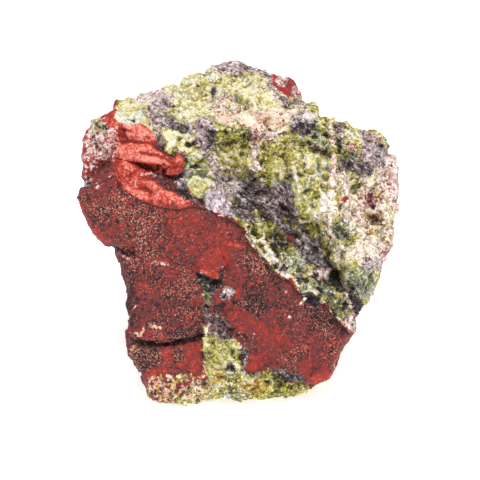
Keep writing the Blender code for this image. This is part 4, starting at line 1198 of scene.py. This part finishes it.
# %% [markdown]
# # Hollows and ridges
# Light gets lost in pits, so the material paints shade into them, and it paints ridges lighter as a
# highlight. Where a corner lies below the average of its neighbours it is in a pit. That is stored on
# the skin with the share of each mineral, so that the material can read it later.
# %% Store what the material will read
HOLLOW_ROUNDS = (4, 24)
FINE_HOLLOWS = 4.0
WIDE_HOLLOWS = 1.3
JASPER_RIDGE_HIGHLIGHT_LOST = 0.8
SPECKLE_GROUND = 0.42
SPECKLE_SPOTS = [
    ((-18.5, 30.0), 6.5, 0.70), ((-12.5, 14.5), 4.5, 0.36), ((-10.5, 29.5), 3.5, 0.20),
    ((-16.0, 6.5), 3.5, 0.30), ((12.5, 14.0), 3.0, 0.20), ((4.0, 23.0), 4.0, 0.25),
]

edges = np.zeros(len(skin.edges) * 2, np.int32)
skin.edges.foreach_get("vertices", edges)
first, second = edges.reshape(-1, 2).T
count = np.bincount(edges, minlength=len(skin.vertices)).astype(float)
normals = np.zeros(len(skin.vertices) * 3, np.float32)
skin.vertices.foreach_get("normal", normals)
normals = normals.reshape(-1, 3)


def depth_below_neighbours(corners, rounds):
    """How far each corner lies below a copy of the skin that was smoothed a few rounds, in mm."""
    soft = corners.copy()
    for _ in range(rounds):
        for axis in range(3):
            total = np.bincount(first, soft[second, axis], len(count))
            total += np.bincount(second, soft[first, axis], len(count))
            soft[:, axis] = 0.3 * soft[:, axis] + 0.7 * total / count
    return np.sum((soft - corners) * normals, axis=1) / MM


def store(mesh, name, values):
    """Keeps one number for each corner under a name."""
    mesh.attributes.new(name, "FLOAT", "POINT").data.foreach_set("value", values.astype(np.float32))


corners = corners_of(skin)
fine, wide = (depth_below_neighbours(corners, rounds) for rounds in HOLLOW_ROUNDS)
# The hollow number drives painted shade in pits and a painted highlight on ridges; on jasper most of the
# ridge highlight is taken away.
hollow = np.clip(FINE_HOLLOWS * fine + WIDE_HOLLOWS * wide, -1.0, 1.0)
hollow = np.where(hollow < 0.0, hollow * (1.0 - JASPER_RIDGE_HIGHLIGHT_LOST * found["jasper"]), hollow)
store(skin, "hollow", hollow)
thick = np.zeros(len(places))
for (x0, z0), reach, more in SPECKLE_SPOTS:
    thick += more * np.exp(-((x - x0) ** 2 + (z - z0) ** 2) / reach ** 2)
thick = SPECKLE_GROUND + (0.3 + 0.7 * in_front) * thick
thick += noise_layers(places, [(0.5, 4.0, 71), (0.4, 1.8, 72)])
red_speckle = np.clip(thick, 0.0, 1.0) * np.clip(3.4 - 6.2 * found["tone"], 0.15, 1.0)
found["tone"] -= found["jasper"] * (0.13 * red_speckle + 0.06 * value_noise(places, 3.0, 75))
for name in MINERALS + ["tone"]:
    store(skin, name, found[name])
store(skin, "speckle", red_speckle)
ragged = noise_layers(places, [(0.12, 0.8, 73), (0.25, 2.4, 74)])
store(skin, "ledge_gap", read_board(ledge_board, x, z) + ragged)
store(skin, "in_front", in_front)
skin.shade_smooth()
print("hollow by", round(float(wide.max()), 2), "mm at most; attributes:", len(skin.attributes))

# %% [markdown]
# # Colours of the minerals
# Each mineral has a scale of colours from its darkest grain to its palest. The tone picks a place
# on the scale, and the grain noise moves up and down from there, so a patch is never flat. The
# colours are written as screen colours, 0 to 255, and turned into light values by one helper.
# %% Name the colours
COLOURS = {
    "jasper": [(0.0, (34, 20, 24)), (0.15, (64, 37, 40)), (0.30, (101, 53, 52)), (0.42, (124, 51, 47)),
        (0.55, (148, 47, 40)), (0.68, (176, 56, 45)), (0.80, (206, 84, 68)), (0.90, (224, 112, 95)),
        (1.0, (238, 158, 142))],
    "epidote": [(0.0, (30, 24, 26)), (0.15, (60, 54, 40)), (0.30, (98, 94, 40)), (0.45, (141, 133, 46)),
        (0.58, (176, 166, 72)), (0.70, (201, 189, 108)), (0.82, (224, 212, 144)), (1.0, (250, 241, 208))],
    "slate": [(0.0, (20, 15, 19)), (0.25, (51, 42, 46)), (0.45, (88, 76, 79)), (0.65, (136, 121, 122)),
        (1.0, (234, 222, 218))],
    "lavender": [(0.0, (38, 30, 34)), (0.25, (88, 70, 73)), (0.5, (145, 124, 124)),
        (0.75, (196, 175, 173)), (1.0, (243, 231, 228))],
    "rosy": [(0.0, (66, 30, 34)), (0.30, (138, 72, 72)), (0.55, (196, 138, 134)),
        (0.80, (233, 205, 197)), (1.0, (252, 244, 240))],
    "pale": [(0.0, (104, 80, 62)), (0.25, (172, 138, 114)), (0.5, (216, 188, 166)),
        (0.75, (242, 226, 208)), (1.0, (255, 251, 245))],
    "celadon": [(0.0, (36, 40, 32)), (0.25, (84, 90, 70)), (0.5, (142, 150, 122)),
        (0.75, (194, 200, 178)), (1.0, (240, 242, 230))],
    "ochre": [(0.0, (84, 56, 24)), (0.35, (150, 110, 40)), (0.6, (198, 162, 72)),
        (0.85, (228, 203, 124)), (1.0, (245, 231, 182))],
    "beige": [(0.0, (140, 84, 54)), (0.35, (206, 150, 114)), (0.65, (237, 202, 174)),
        (1.0, (252, 241, 224))],
    "quartz": [(0.0, (96, 80, 90)), (0.35, (160, 140, 150)), (0.65, (212, 197, 203)),
        (1.0, (253, 248, 250))],
}


def light_value(screen):
    """A screen colour from 0 to 255 as a light value for a shader."""
    shares = np.array(screen) / 255.0
    linear = np.where(shares <= 0.04045, shares / 12.92, ((shares + 0.055) / 1.055) ** 2.4)
    return (*(float(c) for c in linear), 1.0)


print("middle red as light:", [round(c, 3) for c in light_value(COLOURS["jasper"][4][1])[:3]])

# %% [markdown]
# # Small tools for nodes
# A node tree written out by hand is long and hard to read. These helpers place a node, join
# numbers, move vectors and mix colours, so the groups below read almost like sums.
# %% Helpers that place nodes
HALVES = (0.5, 0.5, 0.5)


def place_node(tree, kind, inputs=(), **settings):
    """A new node with its settings, its sockets filled by number or by link."""
    made = tree.nodes.new(kind)
    for name, value in settings.items():
        setattr(made, name, value)
    for socket, value in dict(inputs).items():
        if isinstance(value, bpy.types.NodeSocket):
            tree.links.new(value, made.inputs[socket])
        else:
            made.inputs[socket].default_value = value
    return made


def sums(tree, operation, first_value, second_value=0.0, third_value=0.0, clamp=False):
    """One step of arithmetic on numbers that change over the surface."""
    values = {0: first_value, 1: second_value, 2: third_value}
    return place_node(tree, "ShaderNodeMath", values, operation=operation, use_clamp=clamp).outputs[0]


def eased(tree, value, low, high):
    """0 below low, 1 above high and smooth between them."""
    values = {"Value": value, "From Min": low, "From Max": high}
    return place_node(tree, "ShaderNodeMapRange", values, interpolation_type="SMOOTHSTEP").outputs[0]


def product(tree, *factors):
    """Several numbers multiplied, one after another."""
    made = factors[0]
    for factor in factors[1:]:
        made = sums(tree, "MULTIPLY", made, factor)
    return made


def band(tree, value, low, high, far_low, far_high):
    """1 between high and far low, and 0 beyond low and far high."""
    fallen = sums(tree, "SUBTRACT", 1.0, eased(tree, value, far_low, far_high))
    return product(tree, eased(tree, value, low, high), fallen)


def vectors(tree, operation, *values):
    """One step of arithmetic on vectors."""
    made = place_node(tree, "ShaderNodeVectorMath", enumerate(values), operation=operation)
    return made.outputs["Value" if operation == "DOT_PRODUCT" else "Vector"]


def scaled(tree, vector, factor):
    """A vector times a number."""
    values = {0: vector, "Scale": factor}
    return place_node(tree, "ShaderNodeVectorMath", values, operation="SCALE").outputs[0]


def bent_place(tree, place, scale, detail, push):
    """A place pushed about by slow noise, so that nothing looks ruled."""
    wobble = place_node(tree, "ShaderNodeTexNoise", {"Vector": place, "Scale": scale, "Detail": detail})
    nudge = vectors(tree, "SUBTRACT", wobble.outputs["Color"], HALVES)
    return vectors(tree, "MULTIPLY_ADD", nudge, (push, push, push), place)


def mixed(tree, share, under, over):
    """Two colours, mixed by a share."""
    values = {0: share, 6: under, 7: over}
    return place_node(tree, "ShaderNodeMix", values, data_type="RGBA").outputs[2]


def new_group(name, inputs, outputs):
    """An empty shader node group with named sockets."""
    tree = bpy.data.node_groups.new(name, "ShaderNodeTree")
    for label, kind, value in inputs:
        socket = tree.interface.new_socket(name=label, in_out="INPUT", socket_type=kind)
        if value is not None:
            socket.default_value = value
    for label, kind in outputs:
        tree.interface.new_socket(name=label, in_out="OUTPUT", socket_type=kind)
    return tree, tree.nodes.new("NodeGroupInput").outputs, tree.nodes.new("NodeGroupOutput").inputs


def placed_group(tree, group, inputs):
    """A group placed in a tree, with its inputs filled."""
    return place_node(tree, "ShaderNodeGroup", inputs, node_tree=group).outputs


NUMBER, VECTOR, COLOUR = "NodeSocketFloat", "NodeSocketVector", "NodeSocketColor"
print("node helpers ready")

# %% [markdown]
# # Grains in three sizes
# Crushed and regrown rock is a mosaic of grains. A Voronoi texture gives each cell a number of its
# own: large cells of about a millimetre, middling ones and a fine salt and pepper. A slow cloud
# shifts whole areas. Every mineral uses the four in its own measure. Each cell also has a small
# face with its own tilt, and these faces together are the height for the bump.
# %% Build the grain group
GRAIN_SIZES = (1.2, 0.48, 0.25)
CLOUD_SIZE = 2.6
FACE_TILT = 2.2
FACE_STEP = 0.35
FACE_CROWN = 0.15

grain_group, into, out = new_group(
    "mineral_grains",
    [("Place", VECTOR, None)],
    [("Coarse", NUMBER), ("Medium", NUMBER), ("Fine", NUMBER), ("Cloud", NUMBER), ("Height", NUMBER),
     ("Coarse Vote", VECTOR), ("Medium Vote", VECTOR), ("Fine Vote", VECTOR)],
)
bent = bent_place(grain_group, into["Place"], 1.1, 1.0, 0.8)
tilted_faces = []
for label, size in zip(("Coarse", "Medium", "Fine"), GRAIN_SIZES):
    cells = place_node(grain_group, "ShaderNodeTexVoronoi", {"Vector": bent, "Scale": 1.0 / size})
    parted = place_node(grain_group, "ShaderNodeSeparateColor", {"Color": cells.outputs["Color"]})
    grain_group.links.new(sums(grain_group, "SUBTRACT", parted.outputs[0], 0.5), out[label])
    votes = vectors(grain_group, "SUBTRACT", cells.outputs["Color"], HALVES)
    grain_group.links.new(votes, out[label + " Vote"])
    from_middle = vectors(grain_group, "SUBTRACT", bent, cells.outputs["Position"])
    slope = vectors(grain_group, "DOT_PRODUCT", from_middle, votes)
    crown = product(grain_group, cells.outputs["Distance"], -FACE_CROWN)
    step = sums(grain_group, "MULTIPLY_ADD", parted.outputs[1], FACE_STEP, crown)
    face = sums(grain_group, "MULTIPLY_ADD", slope, FACE_TILT, product(grain_group, step, size))
    tilted_faces.append(face)
cloud = place_node(grain_group, "ShaderNodeTexNoise",
                   {"Vector": into["Place"], "Scale": 1.0 / CLOUD_SIZE, "Detail": 3.0, "Roughness": 0.6})
grain_group.links.new(sums(grain_group, "SUBTRACT", cloud.outputs["Fac"], 0.5), out["Cloud"])
height = sums(grain_group, "ADD", tilted_faces[0], tilted_faces[1])
grain_group.links.new(sums(grain_group, "ADD", height, tilted_faces[2]), out["Height"])
print("grain group has", len(grain_group.nodes), "nodes")

# %% [markdown]
# # Flecks, pits and veins
# Single grains of quartz and iron sit in the red, painted shade of small pits lies in the green and
# fine pale veins run through it like a net. All three are masks. A fleck is where fine noise peaks, a
# pit is a cell that drew a high number, and a vein is the border between two large cells.
# %% Build the groups for flecks, pits and veins
fleck_group, into, out = new_group(
    "flecks",
    [("Place", VECTOR, None), ("Size", NUMBER, 0.4), ("Share", NUMBER, 0.5)],
    [("Mask", NUMBER)],
)
scale = sums(fleck_group, "DIVIDE", 1.0, into["Size"])
peaks = place_node(fleck_group, "ShaderNodeTexNoise",
                   {"Vector": into["Place"], "Scale": scale, "Detail": 1.5, "Roughness": 0.6})
level = sums(fleck_group, "MULTIPLY_ADD", into["Share"], -0.13, 0.70)
above = sums(fleck_group, "SUBTRACT", peaks.outputs["Fac"], level)
fleck_group.links.new(eased(fleck_group, above, 0.0, 0.09), out["Mask"])

speck_group, into, out = new_group(
    "specks",
    [("Place", VECTOR, None), ("Size", NUMBER, 0.5), ("Share", NUMBER, 0.1)],
    [("Mask", NUMBER)],
)
scale = sums(speck_group, "DIVIDE", 1.0, into["Size"])
cells = place_node(speck_group, "ShaderNodeTexVoronoi", {"Vector": into["Place"], "Scale": scale})
parted = place_node(speck_group, "ShaderNodeSeparateColor", {"Color": cells.outputs["Color"]})
level = sums(speck_group, "SUBTRACT", 1.0, into["Share"])
drawn_high = sums(speck_group, "GREATER_THAN", parted.outputs[0], level)
small = sums(speck_group, "SUBTRACT", 1.0, eased(speck_group, cells.outputs["Distance"], 0.22, 0.46))
speck_group.links.new(product(speck_group, drawn_high, small), out["Mask"])

vein_group, into, out = new_group(
    "vein_net",
    [("Place", VECTOR, None), ("Size", NUMBER, 2.6), ("Width", NUMBER, 0.05)],
    [("Mask", NUMBER)],
)
bent = bent_place(vein_group, into["Place"], 0.7, 3.0, 2.2)
scale = sums(vein_group, "DIVIDE", 1.0, into["Size"])
net = place_node(vein_group, "ShaderNodeTexVoronoi", {"Vector": bent, "Scale": scale},
                 feature="DISTANCE_TO_EDGE")
thin = sums(vein_group, "DIVIDE", net.outputs["Distance"], into["Width"])
here = place_node(vein_group, "ShaderNodeTexNoise", {"Vector": into["Place"], "Scale": 0.35, "Detail": 1.0})
patchy = eased(vein_group, here.outputs["Fac"], 0.42, 0.62)
on_line = sums(vein_group, "SUBTRACT", 1.0, eased(vein_group, thin, 0.4, 1.2))
vein_group.links.new(product(vein_group, on_line, patchy), out["Mask"])
print("speck and vein groups built")

# %% [markdown]
# # Streaks in the grey mineral
# Haematite grows as thin scales, and the grey band shows them as silky streaks along its length.
# A Mapping node turns the noise to the direction of the band and stretches it that way.
# %% Build the streak group
STREAK_TURN = math.radians(37.0)
STREAK_STRETCH = (3.2, 1.0, 0.55)

streak_group, into, out = new_group("streaks", [("Place", VECTOR, None)], [("Streak", NUMBER)])
turned = {"Vector": into["Place"], "Rotation": (0.0, STREAK_TURN, 0.0), "Scale": STREAK_STRETCH}
along = place_node(streak_group, "ShaderNodeMapping", turned, vector_type="TEXTURE")
scales = place_node(streak_group, "ShaderNodeTexNoise", {
    "Vector": along.outputs[0], "Scale": 1.1, "Detail": 3.0, "Roughness": 0.65, "Distortion": 0.6,
})
streak_group.links.new(sums(streak_group, "SUBTRACT", scales.outputs["Fac"], 0.5), out["Streak"])
print("streaks run", round(math.degrees(STREAK_TURN)), "degrees down to the right")

# %% [markdown]
# # Every grain votes
# Where two minerals meet, the border is made of whole grains: grains of one sit in the other. So
# each grain votes. Every mineral's stored share is multiplied by a random number of the grain, and
# a high power makes the largest one win nearly all of it. The votes are summed along a chain of
# groups, and at the end the summed colour is divided by the summed votes.
# %% Build the tone group and the vote group
tone_group, into, out = new_group(
    "grain_tone",
    [("Tone", NUMBER, 0.5), ("Coarse", NUMBER, 0.0), ("Medium", NUMBER, 0.0), ("Fine", NUMBER, 0.0),
     ("Cloud", NUMBER, 0.0), ("Coarse Share", NUMBER, 0.2), ("Medium Share", NUMBER, 0.2),
     ("Fine Share", NUMBER, 0.2), ("Cloud Share", NUMBER, 0.2)],
    [("Tone", NUMBER)],
)
total = into["Tone"]
for label in ("Coarse", "Medium", "Fine", "Cloud"):
    total = sums(tone_group, "MULTIPLY_ADD", into[label], into[label + " Share"], total)
tone_group.links.new(total, out["Tone"])

VOTE_POWER = 6.0
VOTE_SPREAD = 4.0

vote_group, into, out = new_group(
    "mineral_vote",
    [("Summed Colour", VECTOR, None), ("Summed Votes", NUMBER, 0.0), ("Colour", COLOUR, WHITE),
     ("Share", NUMBER, 0.0), ("Luck", NUMBER, 0.0)],
    [("Summed Colour", VECTOR), ("Summed Votes", NUMBER), ("Votes", NUMBER)],
)
doublings = product(vote_group, into["Luck"], VOTE_POWER * VOTE_SPREAD)
raised = sums(vote_group, "POWER", into["Share"], VOTE_POWER)
votes = product(vote_group, raised, sums(vote_group, "POWER", 2.0, doublings))
cast = scaled(vote_group, into["Colour"], votes)
vote_group.links.new(vectors(vote_group, "ADD", into["Summed Colour"], cast), out["Summed Colour"])
vote_group.links.new(sums(vote_group, "ADD", into["Summed Votes"], votes), out["Summed Votes"])
vote_group.links.new(votes, out["Votes"])
print("vote group built")

# %% [markdown]
# # The stone's material
# The material first lets all minerals vote. Flecks and veins are laid over the winner, then painted
# shade in pits and hollows, and along the ledge a painted highlight on its edge and a painted shadow
# line below it. Roughness follows the minerals: quartz and fresh jasper shine a little, and weathered
# epidote is dull. The bump adds the grain that is too fine for the skin.
# %% Build the material
MEASURES = {
    "jasper": (0.09, 0.22, 0.30, 0.20), "epidote": (0.25, 0.33, 0.44, 0.42),
    "slate": (0.10, 0.30, 0.38, 0.30), "lavender": (0.16, 0.50, 0.54, 0.30),
    "rosy": (0.14, 0.56, 0.60, 0.25), "pale": (0.24, 0.34, 0.50, 0.45),
    "celadon": (0.22, 0.32, 0.44, 0.34), "ochre": (0.24, 0.44, 0.34, 0.30),
    "beige": (0.18, 0.36, 0.38, 0.35), "quartz": (0.20, 0.46, 0.40, 0.30),
}
SPECKLED = (0.03, 0.20, 0.30, 0.0)
STREAKED = {"slate": 1.9, "lavender": 1.2, "celadon": 0.5}
PIT_SHADE_RIDGE_LIGHT_TONE = -0.12

material = bpy.data.materials.new("jasper_and_epidote")
material.use_nodes = True
tree = material.node_tree
shader = tree.nodes["Principled BSDF"]
coordinates = tree.nodes.new("ShaderNodeTexCoord")
place = scaled(tree, coordinates.outputs["Object"], 1.0 / MM)
grains = placed_group(tree, grain_group, {"Place": place})


def stored(name):
    """One of the numbers kept on the skin."""
    return place_node(tree, "ShaderNodeAttribute", attribute_name=name).outputs["Fac"]


def mineral_colour(name, tone, shares):
    """The colour of one mineral at a tone, moved up and down its scale by the grain."""
    inputs = {label: grains[label] for label in ("Coarse", "Medium", "Fine", "Cloud")}
    inputs.update(zip(("Coarse Share", "Medium Share", "Fine Share", "Cloud Share"), shares))
    moved_tone = placed_group(tree, tone_group, {"Tone": tone, **inputs})["Tone"]
    ramp_node = place_node(tree, "ShaderNodeValToRGB", {"Fac": moved_tone})
    points = ramp_node.color_ramp.elements
    while len(points) < len(COLOURS[name]):
        points.new(0.5)
    for point, (position, screen) in zip(points, COLOURS[name]):
        point.position = position
        point.color = light_value(screen)
    return ramp_node.outputs["Color"]


hollow_here = stored("hollow")
speckle = stored("speckle")
streak = placed_group(tree, streak_group, {"Place": place})["Streak"]
# Painted light: the tone goes darker in hollows as painted shade and lighter on ridges as a painted
# highlight.
tone = sums(tree, "MULTIPLY_ADD", hollow_here, PIT_SHADE_RIDGE_LIGHT_TONE, stored("tone"))
lucks = []
for first_label, second_label in (("Medium", "Coarse"), ("Fine", "Medium"), ("Medium", "Fine")):
    small_part = scaled(tree, grains[second_label + " Vote"], 0.5)
    both = vectors(tree, "ADD", grains[first_label + " Vote"], small_part)
    parts = place_node(tree, "ShaderNodeSeparateXYZ", {0: both})
    lucks += [parts.outputs[1], parts.outputs[2], parts.outputs[0]]
lucks.append(grains["Coarse"])

colour_sum, vote_sum, votes = (0.0, 0.0, 0.0), 0.0, {}
for number, name in enumerate(MINERALS):
    shares = MEASURES[name]
    if name == "jasper":
        both = zip(shares, SPECKLED)
        shares = [sums(tree, "MULTIPLY_ADD", speckle, more, share) for share, more in both]
    tone_here = sums(tree, "MULTIPLY_ADD", streak, STREAKED[name], tone) if name in STREAKED else tone
    cast = placed_group(tree, vote_group, {
        "Summed Colour": colour_sum, "Summed Votes": vote_sum, "Share": stored(name), "Luck": lucks[number],
        "Colour": mineral_colour(name, tone_here, shares),
    })
    colour_sum, vote_sum, votes[name] = cast["Summed Colour"], cast["Summed Votes"], cast["Votes"]
one_vote = sums(tree, "DIVIDE", 1.0, vote_sum)
colour = scaled(tree, colour_sum, one_vote)
masks = {name: product(tree, votes[name], one_vote) for name in ("jasper", "epidote", "celadon", "quartz")}
print("minerals voting in the material:", len(votes))
# %% Add flecks, veins, painted shade in pits and hollows, and the painted highlight and shadow of the ledge
FLECKS = [
    (0.60, 0.9, 0.45, (44, 18, 24)), (0.36, 1.3, 0.58, (194, 112, 98)), (0.25, 0.95, 0.74, (230, 186, 158)),
]
# The cream is the veins' own colour and also the ledge's painted highlight; the dark is the colour of
# painted shade.
VEIN_AND_HIGHLIGHT_CREAM = light_value((242, 232, 208))
PAINTED_SHADE_DARK = light_value((30, 26, 24))
FLECKS_EVERYWHERE = 0.05
VEIN_SIZE = 2.7
VEIN_WIDTH = 0.045
VEIN_STRENGTH = 0.36
PIT_SIZE = 0.65
PIT_SHARE = 0.07
PIT_SHADE_STRENGTH = 0.45
LEDGE_HIGHLIGHT_STRENGTH = 0.85
LEDGE_SHADOW_STRENGTH = 0.7

red = masks["jasper"]
covered = sums(tree, "SUBTRACT", 1.0, red, clamp=True)
for size, wanted, strength, screen in FLECKS:
    wanted_here = sums(tree, "MULTIPLY_ADD", speckle, wanted, FLECKS_EVERYWHERE)
    flecks = placed_group(tree, fleck_group, {"Place": place, "Size": size, "Share": wanted_here})
    colour = mixed(tree, product(tree, flecks["Mask"], red, strength), colour, light_value(screen))
veins = placed_group(tree, vein_group, {"Place": place, "Size": VEIN_SIZE, "Width": VEIN_WIDTH})
green = sums(tree, "ADD", masks["epidote"], masks["celadon"], clamp=True)
colour = mixed(tree, product(tree, veins["Mask"], green, VEIN_STRENGTH), colour, VEIN_AND_HIGHLIGHT_CREAM)
# Painted shade: dark specks stand for small pits that the skin doesn't have.
pit_shade = placed_group(tree, speck_group, {"Place": place, "Size": PIT_SIZE, "Share": PIT_SHARE})
colour = mixed(tree, product(tree, pit_shade["Mask"], covered, PIT_SHADE_STRENGTH), colour, PAINTED_SHADE_DARK)
# Painted shade: hollows of the skin are darkened, more so off the jasper.
hollow_shade_share = sums(tree, "MULTIPLY_ADD", covered, 0.3, 0.35)
colour = mixed(tree, product(tree, eased(tree, hollow_here, 0.25, 1.2), hollow_shade_share), colour, PAINTED_SHADE_DARK)

# Painted highlight along the ledge's crest, and a painted shadow line just below it.
ledge_gap = sums(tree, "MULTIPLY_ADD", grains["Medium"], 0.16, stored("ledge_gap"))
front_here = stored("in_front")
broken_up = product(tree, covered, eased(tree, grains["Cloud"], -0.10, 0.06))
above = band(tree, ledge_gap, -0.42, -0.28, -0.14, -0.02)
painted_ledge_highlight = product(tree, above, broken_up, product(tree, front_here, LEDGE_HIGHLIGHT_STRENGTH))
colour = mixed(tree, painted_ledge_highlight, colour, VEIN_AND_HIGHLIGHT_CREAM)
below = band(tree, ledge_gap, -0.06, 0.06, 0.20, 0.42)
painted_ledge_shadow = product(tree, below, product(tree, front_here, LEDGE_SHADOW_STRENGTH))
colour = mixed(tree, painted_ledge_shadow, colour, PAINTED_SHADE_DARK)
tree.links.new(colour, shader.inputs["Base Color"])
print("extras laid over the minerals; the tree has", len(tree.nodes), "nodes")
# %% Set the dullness and the bump
DULLNESS = 0.72
BUMP_STRENGTH = 0.75
BUMP_HEIGHT = 0.28
SPECULAR = 0.22

dull = sums(tree, "MULTIPLY_ADD", grains["Fine"], 0.30, DULLNESS)
dull = sums(tree, "MULTIPLY_ADD", masks["quartz"], -0.25, dull)
dull = sums(tree, "MULTIPLY_ADD", red, -0.04, dull, clamp=True)
tree.links.new(dull, shader.inputs["Roughness"])
lively = sums(tree, "MULTIPLY_ADD", covered, 0.60, 0.40)
bump = place_node(tree, "ShaderNodeBump", {
    "Height": product(tree, grains["Height"], lively),
    "Strength": BUMP_STRENGTH,
    "Distance": BUMP_HEIGHT * MM,
})
tree.links.new(bump.outputs["Normal"], shader.inputs["Normal"])
shader.inputs["Metallic"].default_value = 0.0
shader.inputs["Specular IOR Level"].default_value = SPECULAR
skin.materials.clear()
skin.materials.append(material)
print("material has", len(tree.nodes), "nodes")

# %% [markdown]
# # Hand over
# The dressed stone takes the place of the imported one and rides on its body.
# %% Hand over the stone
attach(stone, "root")
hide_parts("dragon_blood_stone")
